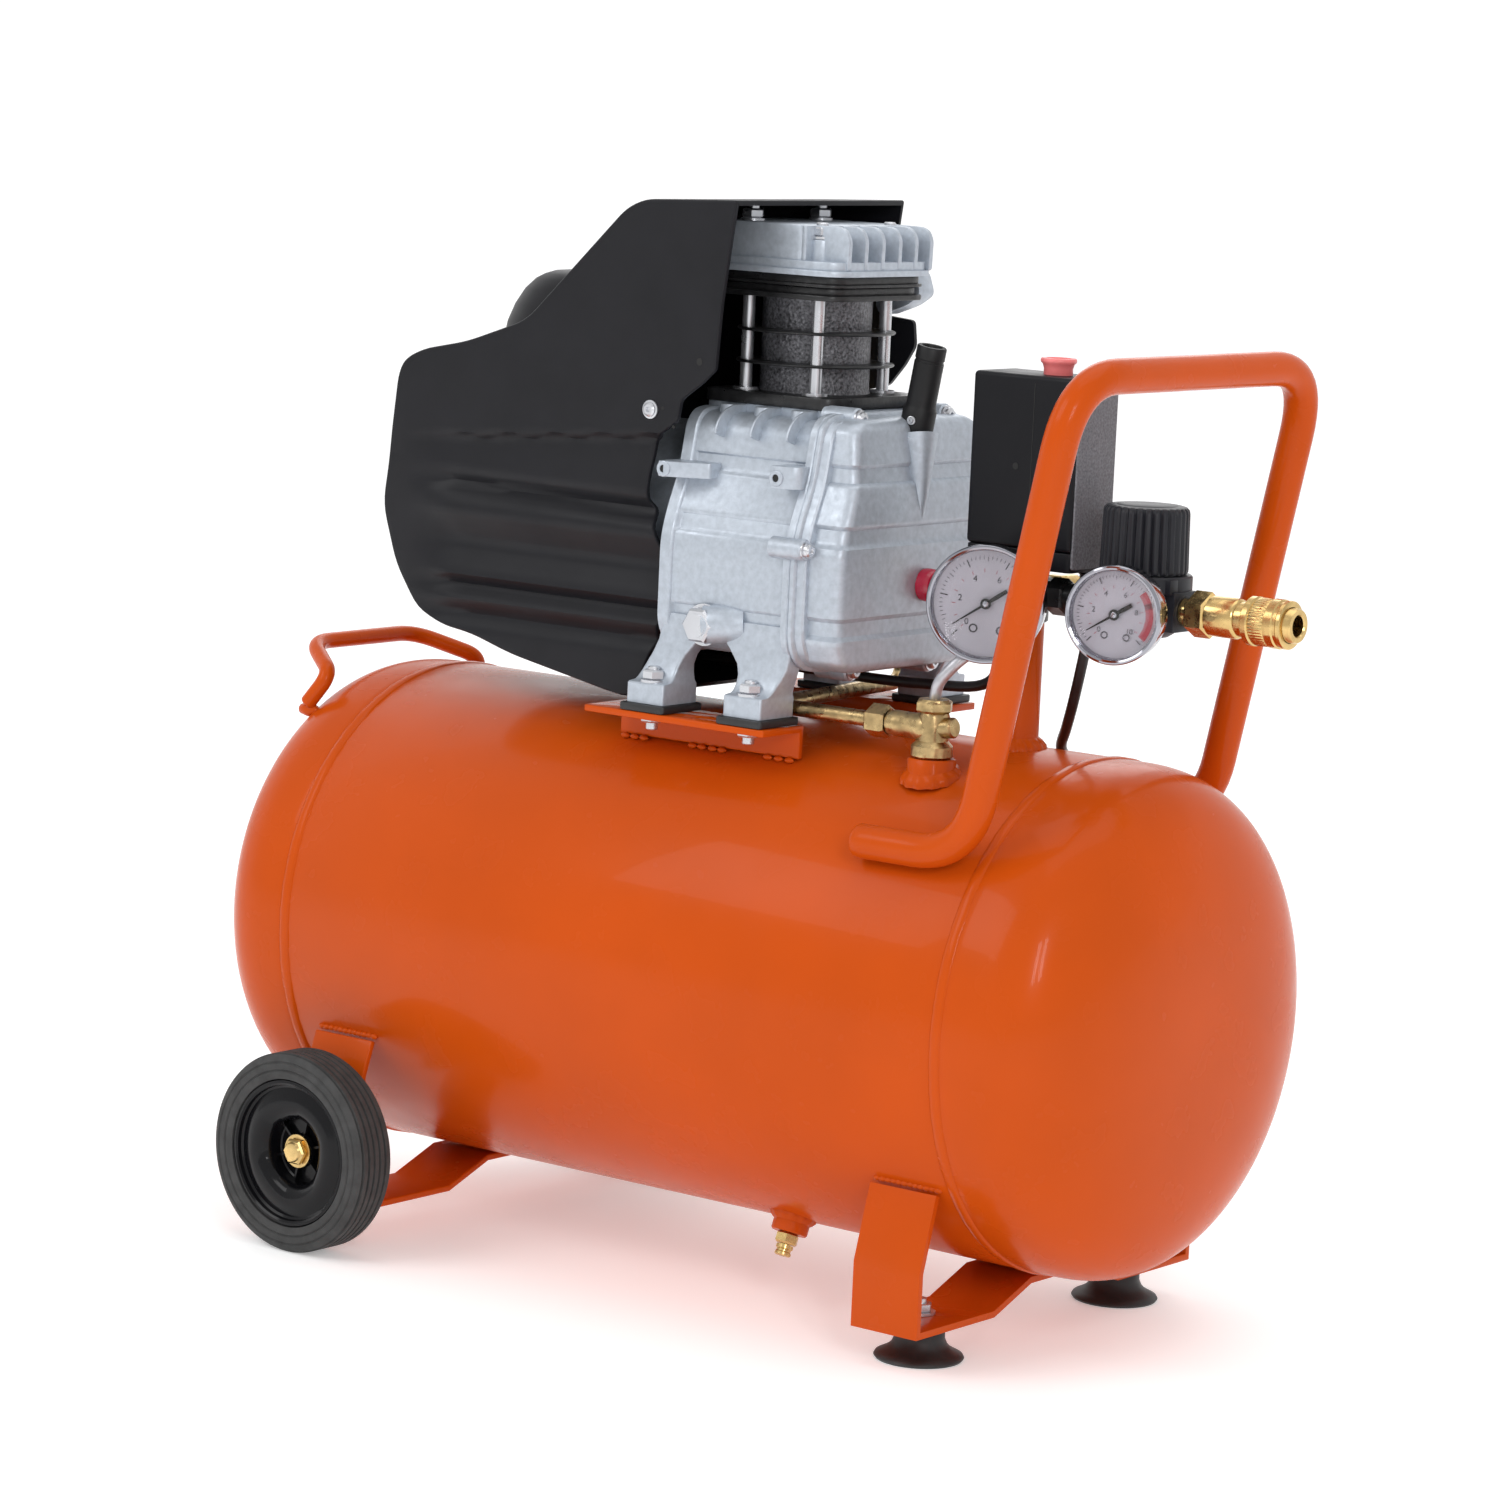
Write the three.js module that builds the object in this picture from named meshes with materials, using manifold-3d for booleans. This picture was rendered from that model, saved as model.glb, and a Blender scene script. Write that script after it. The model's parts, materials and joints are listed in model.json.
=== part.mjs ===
// A wheeled direct-drive air compressor: a welded tank that lies along X, with a pump, motor and shroud on top
// and the pressure switch, gauges, regulator and quick coupler at its +X end.
// Millimetres, +Z up, Z = 0 on the ground.
import * as THREE from "three";
import { mergeVertices } from "three/addons/utils/BufferGeometryUtils.js";
import Module from "manifold-3d";

const wasm = await Module();
wasm.setup();

// ---- Driving dimensions ----
const gap = 0.3; // what two touching pieces keep between them
const originX = 21.75; // middle of the overall length, measured from the middle of the tank

const tank = { radius: 150, wall: 3, z: 191, seam: 245.5, skirt: 8, dome: 75, square: 2.97, sides: 32 };
const strap = { thick: 4, width: 46, plateZ: 24, plateInner: 64, keelHalf: 28, keelZ: 38 };
const footStrap = { ...strap, x: 190, legY: 138, kneeZ: 60, topY: 125.8, topZ: 103 };
const wheelStrap = { ...strap, x: -224, legY: 147, kneeZ: 106, topY: 139.5, topZ: 127 };
const foot = { x: 210, y: 100, discRadius: 26, discHeight: 11, neckRadius: 14.5, topZ: 21.7 };
const wheel = { x: -201, radius: 61, width: 30, outerY: 190, rimRadius: 45, hubRadius: 14, bore: 6.3 };
const axle = { radius: 6, headRadius: 8.6, headLength: 7 };
const frontHandle = { radius: 10, halfWidth: 122, topX: 296, topZ: 566, footX: 241, endX: 168, bend: 42 };
const rearHandle = {
  radius: 5,
  root: [-298, 77, 316],
  knee: [-285, 72, 335],
  top: [-323, 48, 349],
};
const rail = { x0: -52, x1: 82, webY: 68, edgeY: 105, topZ: 346, thick: 4, boltY: 86, boltHole: 4.5 };
const pump = {
  x: 28,
  shaftZ: 448,
  throwRadius: 19,
  footX: [-23, 49],
  footLength: 27.5,
  footY: 102,
  footZ: 351,
};
const caseX = { back: -12, front: 78, flange: 84 };
const cover = { depth: 31, taper: 0.87 };
const barrel = { base: 527.3, deck: 598, radius: 32.5, bore: 23.75, finRadius: 36.8, plate: 48 };
const head = { half: 50, corner: 16, z0: 605, deckZ: 614, topZ: 634, fins: 7, finThick: 3.4 };
const headOutlet = { x: 14, z: 614.5, radius: 9, endY: 54 };
const shroud = { half: 82.5, wall: 2.5 };
const motor = { statorRadius: 62, statorBore: 41, rotorRadius: 39.5, x0: -150, x1: -78, shaftRadius: 10 };
const fan = { x0: -204, x1: -187, radius: 60, hubRadius: 18, blades: 9, bladeThick: 2 };
const riser = { x: 186, radius: 13, bore: 9, topZ: 414 };
const lineZ = 431; // height of the outlet line: manifold, regulator and coupler
const box = { x0: 157, x1: 231, half: 20.5, baseZ: 447, splitZ: 458, topZ: 557.5, wall: 2.5 };
const cordGland = { x: 222, y: 14, radius: 6, length: 12 };
const leadGland = { x: 168, y: 12, radius: 6, length: 9 };
const button = { x: 202, stem: 5, radius: 8.5, flange: 10.5, topZ: 567 };
const regulator = { x: 267.5, bodyRadius: 22, collarRadius: 28, knobRadius: 25.3, knobZ: 451, knobTop: 489 };
const tankGauge = { face: [201, -60, 429], turn: 25, radius: 34, depth: 24, stem: 22 };
const outletGauge = { face: [287.5, -60, 432], turn: 16, radius: 28, depth: 21, stem: 16.5 };
const coupler = { x0: 297, x1: 372, radius: 11.5, nose: 10, hexRadius: 13.8, sleeveRadius: 14, bore: 6 };
const checkValve = { x: 172, y: -63, bungTop: 338, top: 372, z: 354 };
const drain = { x: 86, y: -60, z: -139, bungEnd: 160, bodyEnd: 167, tip: 174 };
const cord = { radius: 3.25, coilX: 20, coilY: 210, coilMean: 35.75, coilHalf: 6.5 };

// ---- Turning three.js geometries into solids, and joining and cutting them ----
function toSolid(shape) {
  if (shape instanceof wasm.Manifold) return shape;
  const bare = new THREE.BufferGeometry();
  bare.setAttribute("position", shape.getAttribute("position"));
  bare.setIndex(shape.index);
  const merged = mergeVertices(bare, 1e-4);
  const corners = merged.index.array;
  const triVerts = [];
  for (let i = 0; i < corners.length; i += 3) {
    const [a, b, c] = [corners[i], corners[i + 1], corners[i + 2]];
    if (a !== b && b !== c && c !== a) triVerts.push(a, b, c);
  }
  const build = (faces) =>
    new wasm.Manifold(
      new wasm.Mesh({
        numProp: 3,
        vertProperties: merged.attributes.position.array,
        triVerts: new Uint32Array(faces),
      }),
    );
  const solid = build(triVerts);
  return solid.volume() > 0 ? solid : build(triVerts.reverse());
}

function join(...shapes) {
  return shapes.map(toSolid).reduce((whole, piece) => whole.add(piece));
}

function cut(body, ...tools) {
  return tools.map(toSolid).reduce((left, tool) => left.subtract(tool), toSolid(body));
}

function toGeometry(shape) {
  const mesh = toSolid(shape).getMesh();
  const geometry = new THREE.BufferGeometry();
  geometry.setAttribute("position", new THREE.BufferAttribute(mesh.vertProperties, 3));
  geometry.setIndex(new THREE.BufferAttribute(mesh.triVerts, 1));
  geometry.computeVertexNormals();
  return geometry;
}

// ---- Primitive shapes, each made where it belongs ----
const directions = {
  x: new THREE.Vector3(1, 0, 0),
  y: new THREE.Vector3(0, 1, 0),
  z: new THREE.Vector3(0, 0, 1),
};

function block(x0, x1, y0, y1, z0, z1) {
  const geometry = new THREE.BoxGeometry(x1 - x0, y1 - y0, z1 - z0);
  return geometry.translate((x0 + x1) / 2, (y0 + y1) / 2, (z0 + z1) / 2);
}

// A shape built round +Y, turned to lie along a direction, with its height 0 at the point given.
function stand(geometry, direction, at) {
  const turn = new THREE.Quaternion().setFromUnitVectors(directions.y, direction);
  return geometry.applyQuaternion(turn).translate(...at);
}

// A rod between two distances along a direction from a point; six sides make a hexagon.
function rod(radius, from, to, direction, at, sides = 16, endRadius = radius) {
  const geometry = new THREE.CylinderGeometry(endRadius, radius, to - from, sides);
  geometry.translate(0, (from + to) / 2, 0);
  return stand(geometry, direction, at);
}

const rodX = (radius, x0, x1, y, z, sides) => rod(radius, x0, x1, directions.x, [0, y, z], sides);
const rodY = (radius, y0, y1, x, z, sides) => rod(radius, y0, y1, directions.y, [x, 0, z], sides);
const rodZ = (radius, z0, z1, x, y, sides) => rod(radius, z0, z1, directions.z, [x, y, 0], sides);

// A turned piece: its profile is a list of [radius, distance along the direction].
function turned(profile, direction, at, sides = 20) {
  const points = profile.map(([radius, along]) => new THREE.Vector2(radius, along));
  return stand(new THREE.LatheGeometry(points, sides), direction, at);
}

function ring(inner, outer, from, to, direction, at, sides = 20) {
  const profile = [
    [inner, from],
    [outer, from],
    [outer, to],
    [inner, to],
    [inner, from],
  ];
  return turned(profile, direction, at, sides);
}

// A plate whose outline is drawn in X and Z, from y0 to y1.
function plateY(outline, y0, y1) {
  const shape = new THREE.Shape(outline.map(([x, z]) => new THREE.Vector2(x, z)));
  const geometry = new THREE.ExtrudeGeometry(shape, { depth: y1 - y0, bevelEnabled: false });
  return geometry.rotateX(Math.PI / 2).translate(0, y1, 0);
}

// A plate whose outline is drawn in Y and Z, from x0 to x1.
function plateX(outline, x0, x1) {
  const shape = new THREE.Shape(outline.map(([y, z]) => new THREE.Vector2(y, z)));
  const geometry = new THREE.ExtrudeGeometry(shape, { depth: x1 - x0, bevelEnabled: false });
  const turn = new THREE.Matrix4().makeBasis(directions.y, directions.z, directions.x);
  return geometry.applyMatrix4(turn).translate(x0, 0, 0);
}

// An outline moved inwards by a distance; a negative distance moves it outwards.
function inset(outline, distance) {
  const points = outline.map(([u, v]) => new THREE.Vector2(u, v));
  const inwards = THREE.ShapeUtils.isClockWise(points) ? -distance : distance;
  return points.map((point, i) => {
    const before = points[(i + points.length - 1) % points.length];
    const after = points[(i + 1) % points.length];
    const first = point.clone().sub(before).normalize();
    const second = after.clone().sub(point).normalize();
    const normal = new THREE.Vector2(-first.y - second.y, first.x + second.x).normalize();
    const reach = inwards / Math.max(0.3, normal.x * -first.y + normal.y * first.x);
    return [point.x + normal.x * reach, point.y + normal.y * reach];
  });
}

// The outline of a strip of even thickness that follows an open line.
function strip(line, thick) {
  const points = line.map(([u, v]) => new THREE.Vector2(u, v));
  const side = (sign) =>
    points.map((point, i) => {
      const before = points[Math.max(0, i - 1)];
      const after = points[Math.min(points.length - 1, i + 1)];
      const first = (i ? point.clone().sub(before) : after.clone().sub(point)).normalize();
      const last = i === points.length - 1;
      const second = (last ? point.clone().sub(before) : after.clone().sub(point)).normalize();
      const normal = new THREE.Vector2(-first.y - second.y, first.x + second.x).normalize();
      const reach = (sign * thick) / 2 / (normal.x * -first.y + normal.y * first.x);
      return [point.x + normal.x * reach, point.y + normal.y * reach];
    });
  return [...side(1), ...side(-1).reverse()];
}

function mirrored(line) {
  return [...line, ...line.map(([y, z]) => [-y, z]).reverse()];
}

function circle(radius, sides) {
  const points = [];
  for (let i = 0; i < sides; i++) {
    const angle = (2 * Math.PI * i) / sides;
    points.push(new THREE.Vector2(radius * Math.cos(angle), radius * Math.sin(angle)));
  }
  return new THREE.Shape(points);
}

// A path of straight runs joined by rounded bends.
function bentPath(points, bend) {
  const corners = points.map((p) => new THREE.Vector3(...p));
  const path = new THREE.CurvePath();
  let last = corners[0];
  for (let i = 1; i < corners.length - 1; i++) {
    const back = corners[i - 1].clone().sub(corners[i]);
    const ahead = corners[i + 1].clone().sub(corners[i]);
    const reach = Math.min(bend, back.length() * 0.49, ahead.length() * 0.49);
    const enter = corners[i].clone().add(back.setLength(reach));
    const leave = corners[i].clone().add(ahead.setLength(reach));
    path.add(new THREE.LineCurve3(last, enter));
    path.add(new THREE.QuadraticBezierCurve3(enter, corners[i], leave));
    last = leave;
  }
  path.add(new THREE.LineCurve3(last, corners[corners.length - 1]));
  return path;
}

function tube(path, radius, steps, sides) {
  const settings = { steps, extrudePath: path, bevelEnabled: false };
  return new THREE.ExtrudeGeometry(circle(radius, sides), settings);
}

// ---- Materials ----
function finish(colour, roughness, metalness) {
  return new THREE.MeshStandardMaterial({ color: colour, roughness, metalness });
}

const materials = {
  orange: finish(0xd2601f, 0.3, 0.2),
  castAluminium: finish(0xc8cbd2, 0.5, 0.7),
  castIron: finish(0x202022, 0.6, 0.5),
  steel: finish(0xb9bcc2, 0.35, 0.9),
  zinc: finish(0xc9b25f, 0.35, 0.9),
  brass: finish(0xc8a24a, 0.3, 0.9),
  copper: finish(0xa8583a, 0.4, 0.9),
  chrome: finish(0xdcdcdf, 0.1, 1),
  blackPlastic: finish(0x26262a, 0.6, 0),
  wheelPlastic: finish(0x18191b, 0.3, 0),
  rubber: finish(0x1d1d1f, 0.8, 0),
  tyre: finish(0x323437, 0.85, 0),
  redPlastic: finish(0xcd5a5f, 0.45, 0),
  sightRed: finish(0xc81e3c, 0.15, 0),
  needleBlack: finish(0x101010, 0.5, 0),
  cordBlack: finish(0x151517, 0.6, 0),
};

const compressor = new THREE.Group();
compressor.position.x = -originX;

function part(name, shape, material) {
  const mesh = new THREE.Mesh(toGeometry(shape), materials[material]);
  mesh.name = name;
  compressor.add(mesh);
}

// ---- Tank ----
// Radius of the dished head at a fraction of its depth, and the other way round.
function domeRadius(depthShare, radius) {
  const sine = Math.pow(depthShare, tank.square / 2);
  return radius * Math.pow(Math.max(0, 1 - sine * sine), 1 / tank.square);
}

function domeProfile(radius, depth) {
  const shares = [0, 0.4, 0.66, 0.84, 0.94, 0.99];
  const skirtEnd = tank.seam + tank.skirt;
  const side = shares.map((share) => [domeRadius(share, radius), skirtEnd + depth * share]);
  return [...side, [0, skirtEnd + depth]];
}

function tankHead(direction) {
  const outer = domeProfile(tank.radius, tank.dome);
  const inner = domeProfile(tank.radius - tank.wall, tank.dome - tank.wall).reverse();
  const skirt = [
    [tank.radius - tank.wall, tank.seam],
    [tank.radius, tank.seam],
  ];
  return turned([...inner, ...skirt, ...outer], direction, [0, 0, tank.z], tank.sides);
}

const drainDirection = new THREE.Vector3(0, drain.y, drain.z).normalize();
const drainOrigin = [drain.x, 0, tank.z];

function tankShell() {
  const end = tank.seam - gap;
  const { radius, wall, sides } = tank;
  const shell = ring(radius - wall, radius, -end, end, directions.x, [0, 0, tank.z], sides);
  const valveBung = rodZ(14, 322, checkValve.bungTop, checkValve.x, checkValve.y);
  const drainBung = rod(11, tank.radius - 2, drain.bungEnd, drainDirection, drainOrigin);
  return cut(
    join(shell, valveBung, drainBung),
    rodZ(riser.bore, 320, 350, riser.x, 0, 16),
    rodZ(5, 310, 350, checkValve.x, checkValve.y, 12),
    rod(3.5, tank.radius - 10, drain.bungEnd + 5, drainDirection, drainOrigin, 12),
  );
}

part("tank_shell", tankShell(), "orange");
part("tank_head_front", tankHead(directions.x), "orange");
part("tank_head_rear", tankHead(directions.x.clone().negate()), "orange");

// ---- Straps under the tank, feet and wheels ----
function strapShape(s) {
  const half = [
    [s.topY, s.topZ],
    [s.legY, s.kneeZ],
    [s.legY, s.plateZ],
    [s.plateInner, s.plateZ],
    [s.keelHalf, s.keelZ],
  ];
  return plateX(strip(mirrored(half), s.thick), s.x, s.x + s.width);
}

const footHoles = [-1, 1].map((side) => rodZ(4.3, 10, 40, foot.x, side * foot.y, 16));
const axleHoles = rodY(axle.radius + gap, -160, 160, wheel.x, wheel.radius, 20);
part("front_foot_strap", cut(strapShape(footStrap), ...footHoles), "orange");
part("wheel_strap", cut(strapShape(wheelStrap), axleHoles), "orange");

// A rubber foot like a suction cup, with its neck and the stud moulded into it.
function rubberFoot(side) {
  const profile = [
    [0, 0],
    [foot.discRadius - 2, 0],
    [foot.discRadius, 2],
    [foot.neckRadius, foot.discHeight],
    [foot.neckRadius, foot.topZ],
    [4, foot.topZ],
    [4, foot.topZ + 12],
    [0, foot.topZ + 12],
  ];
  return turned(profile, directions.z, [foot.x, side * foot.y, 0], 24);
}

function wheelHub(side) {
  const half = wheel.width / 2;
  const profile = [
    [wheel.bore, -half + 1],
    [wheel.hubRadius, -half + 1],
    [wheel.hubRadius + 3, -4],
    [wheel.rimRadius - 6, -4],
    [wheel.rimRadius - 3, -half + 2],
    [wheel.rimRadius, -half + 2],
    [wheel.rimRadius, half - 2],
    [wheel.rimRadius - 4, half - 2],
    [wheel.rimRadius - 16, half - 4],
    [19, half - 9],
    [18, 1],
    [wheel.bore, 1],
    [wheel.bore, -half + 1],
  ];
  return turned(profile, directions.y.clone().multiplyScalar(side), wheelCentre(side), 24);
}

function wheelCentre(side) {
  return [wheel.x, side * (wheel.outerY - wheel.width / 2), wheel.radius];
}

function tyre(side) {
  const half = wheel.width / 2;
  const inner = wheel.rimRadius + gap;
  const profile = [
    [inner, -half + 1],
    [inner + 4, -half],
    [wheel.radius - 5, -half],
    [wheel.radius, -half + 5],
    [wheel.radius, half - 5],
    [wheel.radius - 5, half],
    [inner + 4, half],
    [inner, half - 1],
    [inner, -half + 1],
  ];
  return turned(profile, directions.y, wheelCentre(side), 32);
}

// A shouldered bolt: nut inside the strap, spacer collar, shank through the hub, head in the hub's recess.
function axleBolt(side) {
  const direction = directions.y.clone().multiplyScalar(side);
  const at = [wheel.x, 0, wheel.radius];
  const inner = wheelStrap.legY - wheelStrap.thick / 2;
  const outer = wheelStrap.legY + wheelStrap.thick / 2;
  const hubOuter = wheel.outerY - wheel.width / 2 + 1;
  return join(
    rod(axle.radius, inner - 12, hubOuter + 1, direction, at, 16),
    rod(9.5, inner - 9, inner - gap, direction, at, 6),
    rod(10, outer + gap, wheel.outerY - wheel.width, direction, at, 16),
    rod(axle.headRadius, hubOuter + gap, hubOuter + axle.headLength, direction, at, 6),
  );
}

for (const [side, where] of [
  [-1, "near"],
  [1, "far"],
]) {
  part("rubber_foot_" + where, rubberFoot(side), "rubber");
  part("wheel_hub_" + where, wheelHub(side), "wheelPlastic");
  part("tyre_" + where, tyre(side), "tyre");
  part("axle_bolt_" + where, axleBolt(side), "zinc");
}

// ---- Handles ----
function frontHandleShape() {
  const h = frontHandle;
  const reach = tank.radius + h.radius + gap * 2;
  const footZ = tank.z + Math.sqrt(reach * reach - h.halfWidth * h.halfWidth);
  const side = (y) => [
    [h.endX, y, footZ],
    [h.footX, y, footZ],
    [h.topX, y, h.topZ],
  ];
  const route = [...side(-h.halfWidth), ...side(h.halfWidth).reverse()];
  return tube(bentPath(route, h.bend), h.radius, 46, 10);
}

function rearHandleShape() {
  const { radius, root, knee, top } = rearHandle;
  const side = (sign) => [root, knee, top].map(([x, y, z]) => [x, sign * y, z]);
  return tube(bentPath([...side(-1), ...side(1).reverse()], 16), radius, 36, 8);
}

part("front_handle", frontHandleShape(), "orange");
part("rear_handle", rearHandleShape(), "orange");

// ---- Pump rails: two L sections welded on top of the tank ----
for (const [side, where] of [
  [-1, "near"],
  [1, "far"],
]) {
  const webInner = rail.webY - rail.thick / 2;
  const webOuter = rail.webY + rail.thick / 2;
  const webFoot = tank.z + Math.sqrt(tank.radius ** 2 - webInner ** 2) + 0.5;
  const outline = [
    [side * webInner, webFoot],
    [side * webInner, rail.topZ],
    [side * rail.edgeY, rail.topZ],
    [side * rail.edgeY, rail.topZ - rail.thick],
    [side * webOuter, rail.topZ - rail.thick],
    [side * webOuter, webFoot],
  ];
  const hole = (x) => rodZ(rail.boltHole, rail.topZ - 10, rail.topZ + 10, x, side * rail.boltY, 12);
  const holes = pump.footX.map((x) => hole(x + pump.footLength / 2));
  part("pump_rail_" + where, cut(plateX(outline, rail.x0, rail.x1), ...holes), "orange");
}

// ---- Crankcase and its cover ----
const caseOutline = mirrored([
  [58, 377],
  [74, 379],
  [84, 385],
  [90, 397],
  [90, 448],
  [85, 465],
  [75, 488],
  [71, 508],
  [69, 518],
  [63, 525],
  [54, 527],
]);

const caseMidZ = 450;

// The case outline made smaller about its middle.
function shrunk(share) {
  return caseOutline.map(([y, z]) => [y * share, caseMidZ + (z - caseMidZ) * share]);
}

// One foot of the crankcase: a flat pad with a leg that curves up and in to the case wall.
function caseLeg(x, side) {
  const outline = [
    [69, pump.footZ],
    [pump.footY, pump.footZ],
    [pump.footY, pump.footZ + 12],
    [94, pump.footZ + 15],
    [87, pump.footZ + 26],
    [84, pump.footZ + 44],
    [84, 410],
    [70, 410],
    [70, 384],
    [69, pump.footZ + 16],
  ];
  return plateX(
    outline.map(([y, z]) => [side * y, z]),
    x,
    x + pump.footLength,
  );
}

function crankcase() {
  const shaft = [0, 0, pump.shaftZ];
  const body = plateX(shrunk(0.95), caseX.back, caseX.front);
  const flange = plateX(caseOutline, caseX.front, caseX.flange);
  const bellWall = rodX(motor.statorRadius, -28, caseX.back + 1, 0, pump.shaftZ, 24);
  const bell = ring(motor.statorRadius - 5, motor.statorRadius, motor.x1 + gap, -27, directions.x, shaft, 24);
  const legs = pump.footX.flatMap((x) => [caseLeg(x, -1), caseLeg(x, 1)]);
  const lugs = [
    block(-16, 22, -90, -66, 484, 493),
    block(62, caseX.flange, -86, -68, 484, 496),
  ];
  const shroudEdges = [-1, 1].map((side) =>
    block(-60, caseX.back - gap, side * 73 - 10.2, side * 73 + 10.2, 366, 440),
  );
  const bores = [
    plateX(shrunk(0.84), caseX.back + 7, caseX.flange + 1),
    rodX(20 + gap, -30, -14.5, 0, pump.shaftZ, 20),
    rodX(motor.shaftRadius + 2, -30, 0, 0, pump.shaftZ),
    rodZ(barrel.bore + 2, 500, 540, pump.x, 0, 20),
  ];
  const bolts = pump.footX.flatMap((x) =>
    [-1, 1].map((side) =>
      rodZ(rail.boltHole, 340, pump.footZ + 40, x + pump.footLength / 2, side * rail.boltY, 12),
    ),
  );
  const frame = cut(join(...legs), ...shroudEdges);
  return cut(join(body, flange, bellWall, bell, frame, ...lugs), ...bores, ...bolts);
}

const breather = { x: 103.5, z: 515, lean: 10, radius: 8.75, collar: 10, stem: 5, length: 53 };
const breatherAngle = THREE.MathUtils.degToRad(breather.lean);
const breatherDirection = new THREE.Vector3(Math.sin(breatherAngle), 0, Math.cos(breatherAngle));
const breatherFoot = [breather.x, 0, breather.z];

// The cover's outer face is smaller than its flange, so its sides slope.
function caseCover() {
  const x0 = caseX.flange + gap;
  const outer = plateX(caseOutline, x0, x0 + cover.depth);
  const position = outer.getAttribute("position");
  for (let i = 0; i < position.count; i++) {
    if (position.getX(i) < x0 + 1) continue;
    position.setY(i, position.getY(i) * cover.taper);
    position.setZ(i, caseMidZ + (position.getZ(i) - caseMidZ) * cover.taper);
  }
  const neck = rod(12, -52, 0, breatherDirection, breatherFoot, 20);
  const neckTaper = rod(7, -66, -50, breatherDirection, breatherFoot, 20, 12);
  return cut(
    join(outer, neck, neckTaper),
    plateX(shrunk(0.74), x0 - 1, x0 + cover.depth - 8),
    rodX(9, x0 + 10, x0 + cover.depth + 5, 0, 428, 20),
    rod(breather.stem + gap, -14, 2, breatherDirection, breatherFoot),
    rod(breather.collar + 0.6, 0, 40, breatherDirection, breatherFoot, 20),
    block(x0 - 40, x0, -20, 20, 440, 520),
  );
}

function sightGlass() {
  const x1 = caseX.flange + gap + cover.depth;
  return join(rodX(8.7, x1 - 8, x1 + 1, 0, 428, 20), rodX(11, x1 + gap, x1 + 9, 0, 428, 20));
}

function breatherTube() {
  const profile = [
    [0, -12],
    [breather.stem, -12],
    [breather.stem, gap],
    [breather.collar, gap],
    [breather.collar, 16],
    [breather.radius, 18],
    [breather.radius, breather.length],
    [6, breather.length],
    [6, breather.length - 10],
    [0, breather.length - 10],
  ];
  return turned(profile, breatherDirection, breatherFoot, 20);
}

part("crankcase", crankcase(), "castAluminium");
part("crankcase_cover", caseCover(), "castAluminium");
part("oil_sight_glass", sightGlass(), "sightRed");
part("oil_breather", breatherTube(), "blackPlastic");
part("oil_drain_plug", rod(11, 86.4, 94, directions.y.clone().negate(), [22, 0, 400], 6), "steel");

// ---- Cylinder, valve plate and head ----
function cylinder() {
  const at = [pump.x, 0, 0];
  const half = barrel.plate;
  const plate = block(pump.x - half, pump.x + half, -half, half, barrel.base, 535);
  const top = block(pump.x - 46, pump.x + 46, -46, 46, 592, barrel.deck);
  const fins = [553, 571].map((z) => rodZ(barrel.finRadius, z - 1.5, z + 1.5, pump.x, 0, 20));
  const wall = rod(barrel.radius, 530, 595, directions.z, at, 20);
  return cut(join(plate, wall, top, ...fins), rodZ(barrel.bore, 520, 610, pump.x, 0, 20));
}

function valvePlate() {
  const plate = block(pump.x - 48, pump.x + 48, -48, 48, barrel.deck + gap, head.z0 - gap);
  return cut(plate, rodZ(5, 590, 610, pump.x - 12, 0, 12), rodZ(5, 590, 610, pump.x + 12, 0, 12));
}

// The head: a square dish with upright fins along X, and an outlet boss on its far side.
function cylinderHead() {
  const x0 = pump.x - head.half;
  const x1 = pump.x + head.half;
  const { half, corner } = head;
  const outline = [
    [x0 + corner, -half],
    [x1 - corner, -half],
    [x1, -half + corner],
    [x1, half - corner],
    [x1 - corner, half],
    [x0 + corner, half],
    [x0, half - corner],
    [x0, -half + corner],
  ];
  const shape = new THREE.Shape(outline.map(([x, y]) => new THREE.Vector2(x, y)));
  const prism = (z0, z1) =>
    new THREE.ExtrudeGeometry(shape, { depth: z1 - z0, bevelEnabled: false }).translate(0, 0, z0);
  const spacing = (2 * head.half - head.finThick) / (head.fins - 1);
  const fins = [];
  for (let i = 0; i < head.fins; i++) {
    const y = -head.half + i * spacing;
    fins.push(block(x0, x1, y, y + head.finThick, head.deckZ - 1, head.topZ));
  }
  const finStack = toSolid(prism(head.deckZ - 1, head.topZ)).intersect(join(...fins));
  const centre = rodZ(15, head.deckZ - 1, head.topZ - 4, pump.x, 0, 20);
  const outlet = rodY(headOutlet.radius, 40, headOutlet.endY, headOutlet.x, headOutlet.z, 16);
  const chamber = block(pump.x - 30, pump.x + 30, -30, 30, head.z0 - 1, head.z0 + 7);
  return cut(join(prism(head.z0, head.deckZ), finStack, centre, outlet), chamber);
}

// A cup with its wrist pin fixed across it.
function piston() {
  const profile = [
    [0, 590],
    [23.4, 590],
    [23.4, 560],
    [19, 560],
    [19, 584],
    [0, 584],
  ];
  const pin = rodX(6, pump.x - 21, pump.x + 21, 0, 571, 16);
  return join(turned(profile, directions.z, [pump.x, 0, 0], 20), pin);
}

const crankPinZ = pump.shaftZ + pump.throwRadius;

function connectingRod() {
  const x0 = pump.x - 7;
  const x1 = pump.x + 7;
  const bigEnd = rodX(15, x0, x1, 0, crankPinZ, 20);
  const smallEnd = rodX(10, x0, x1, 0, 571, 20);
  const shank = block(x0 + 3, x1 - 3, -6, 6, crankPinZ, 571);
  return cut(
    join(bigEnd, smallEnd, shank),
    rodX(8 + gap, x0 - 1, x1 + 1, 0, crankPinZ, 16),
    rodX(6 + gap, x0 - 1, x1 + 1, 0, 571, 16),
  );
}

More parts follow.
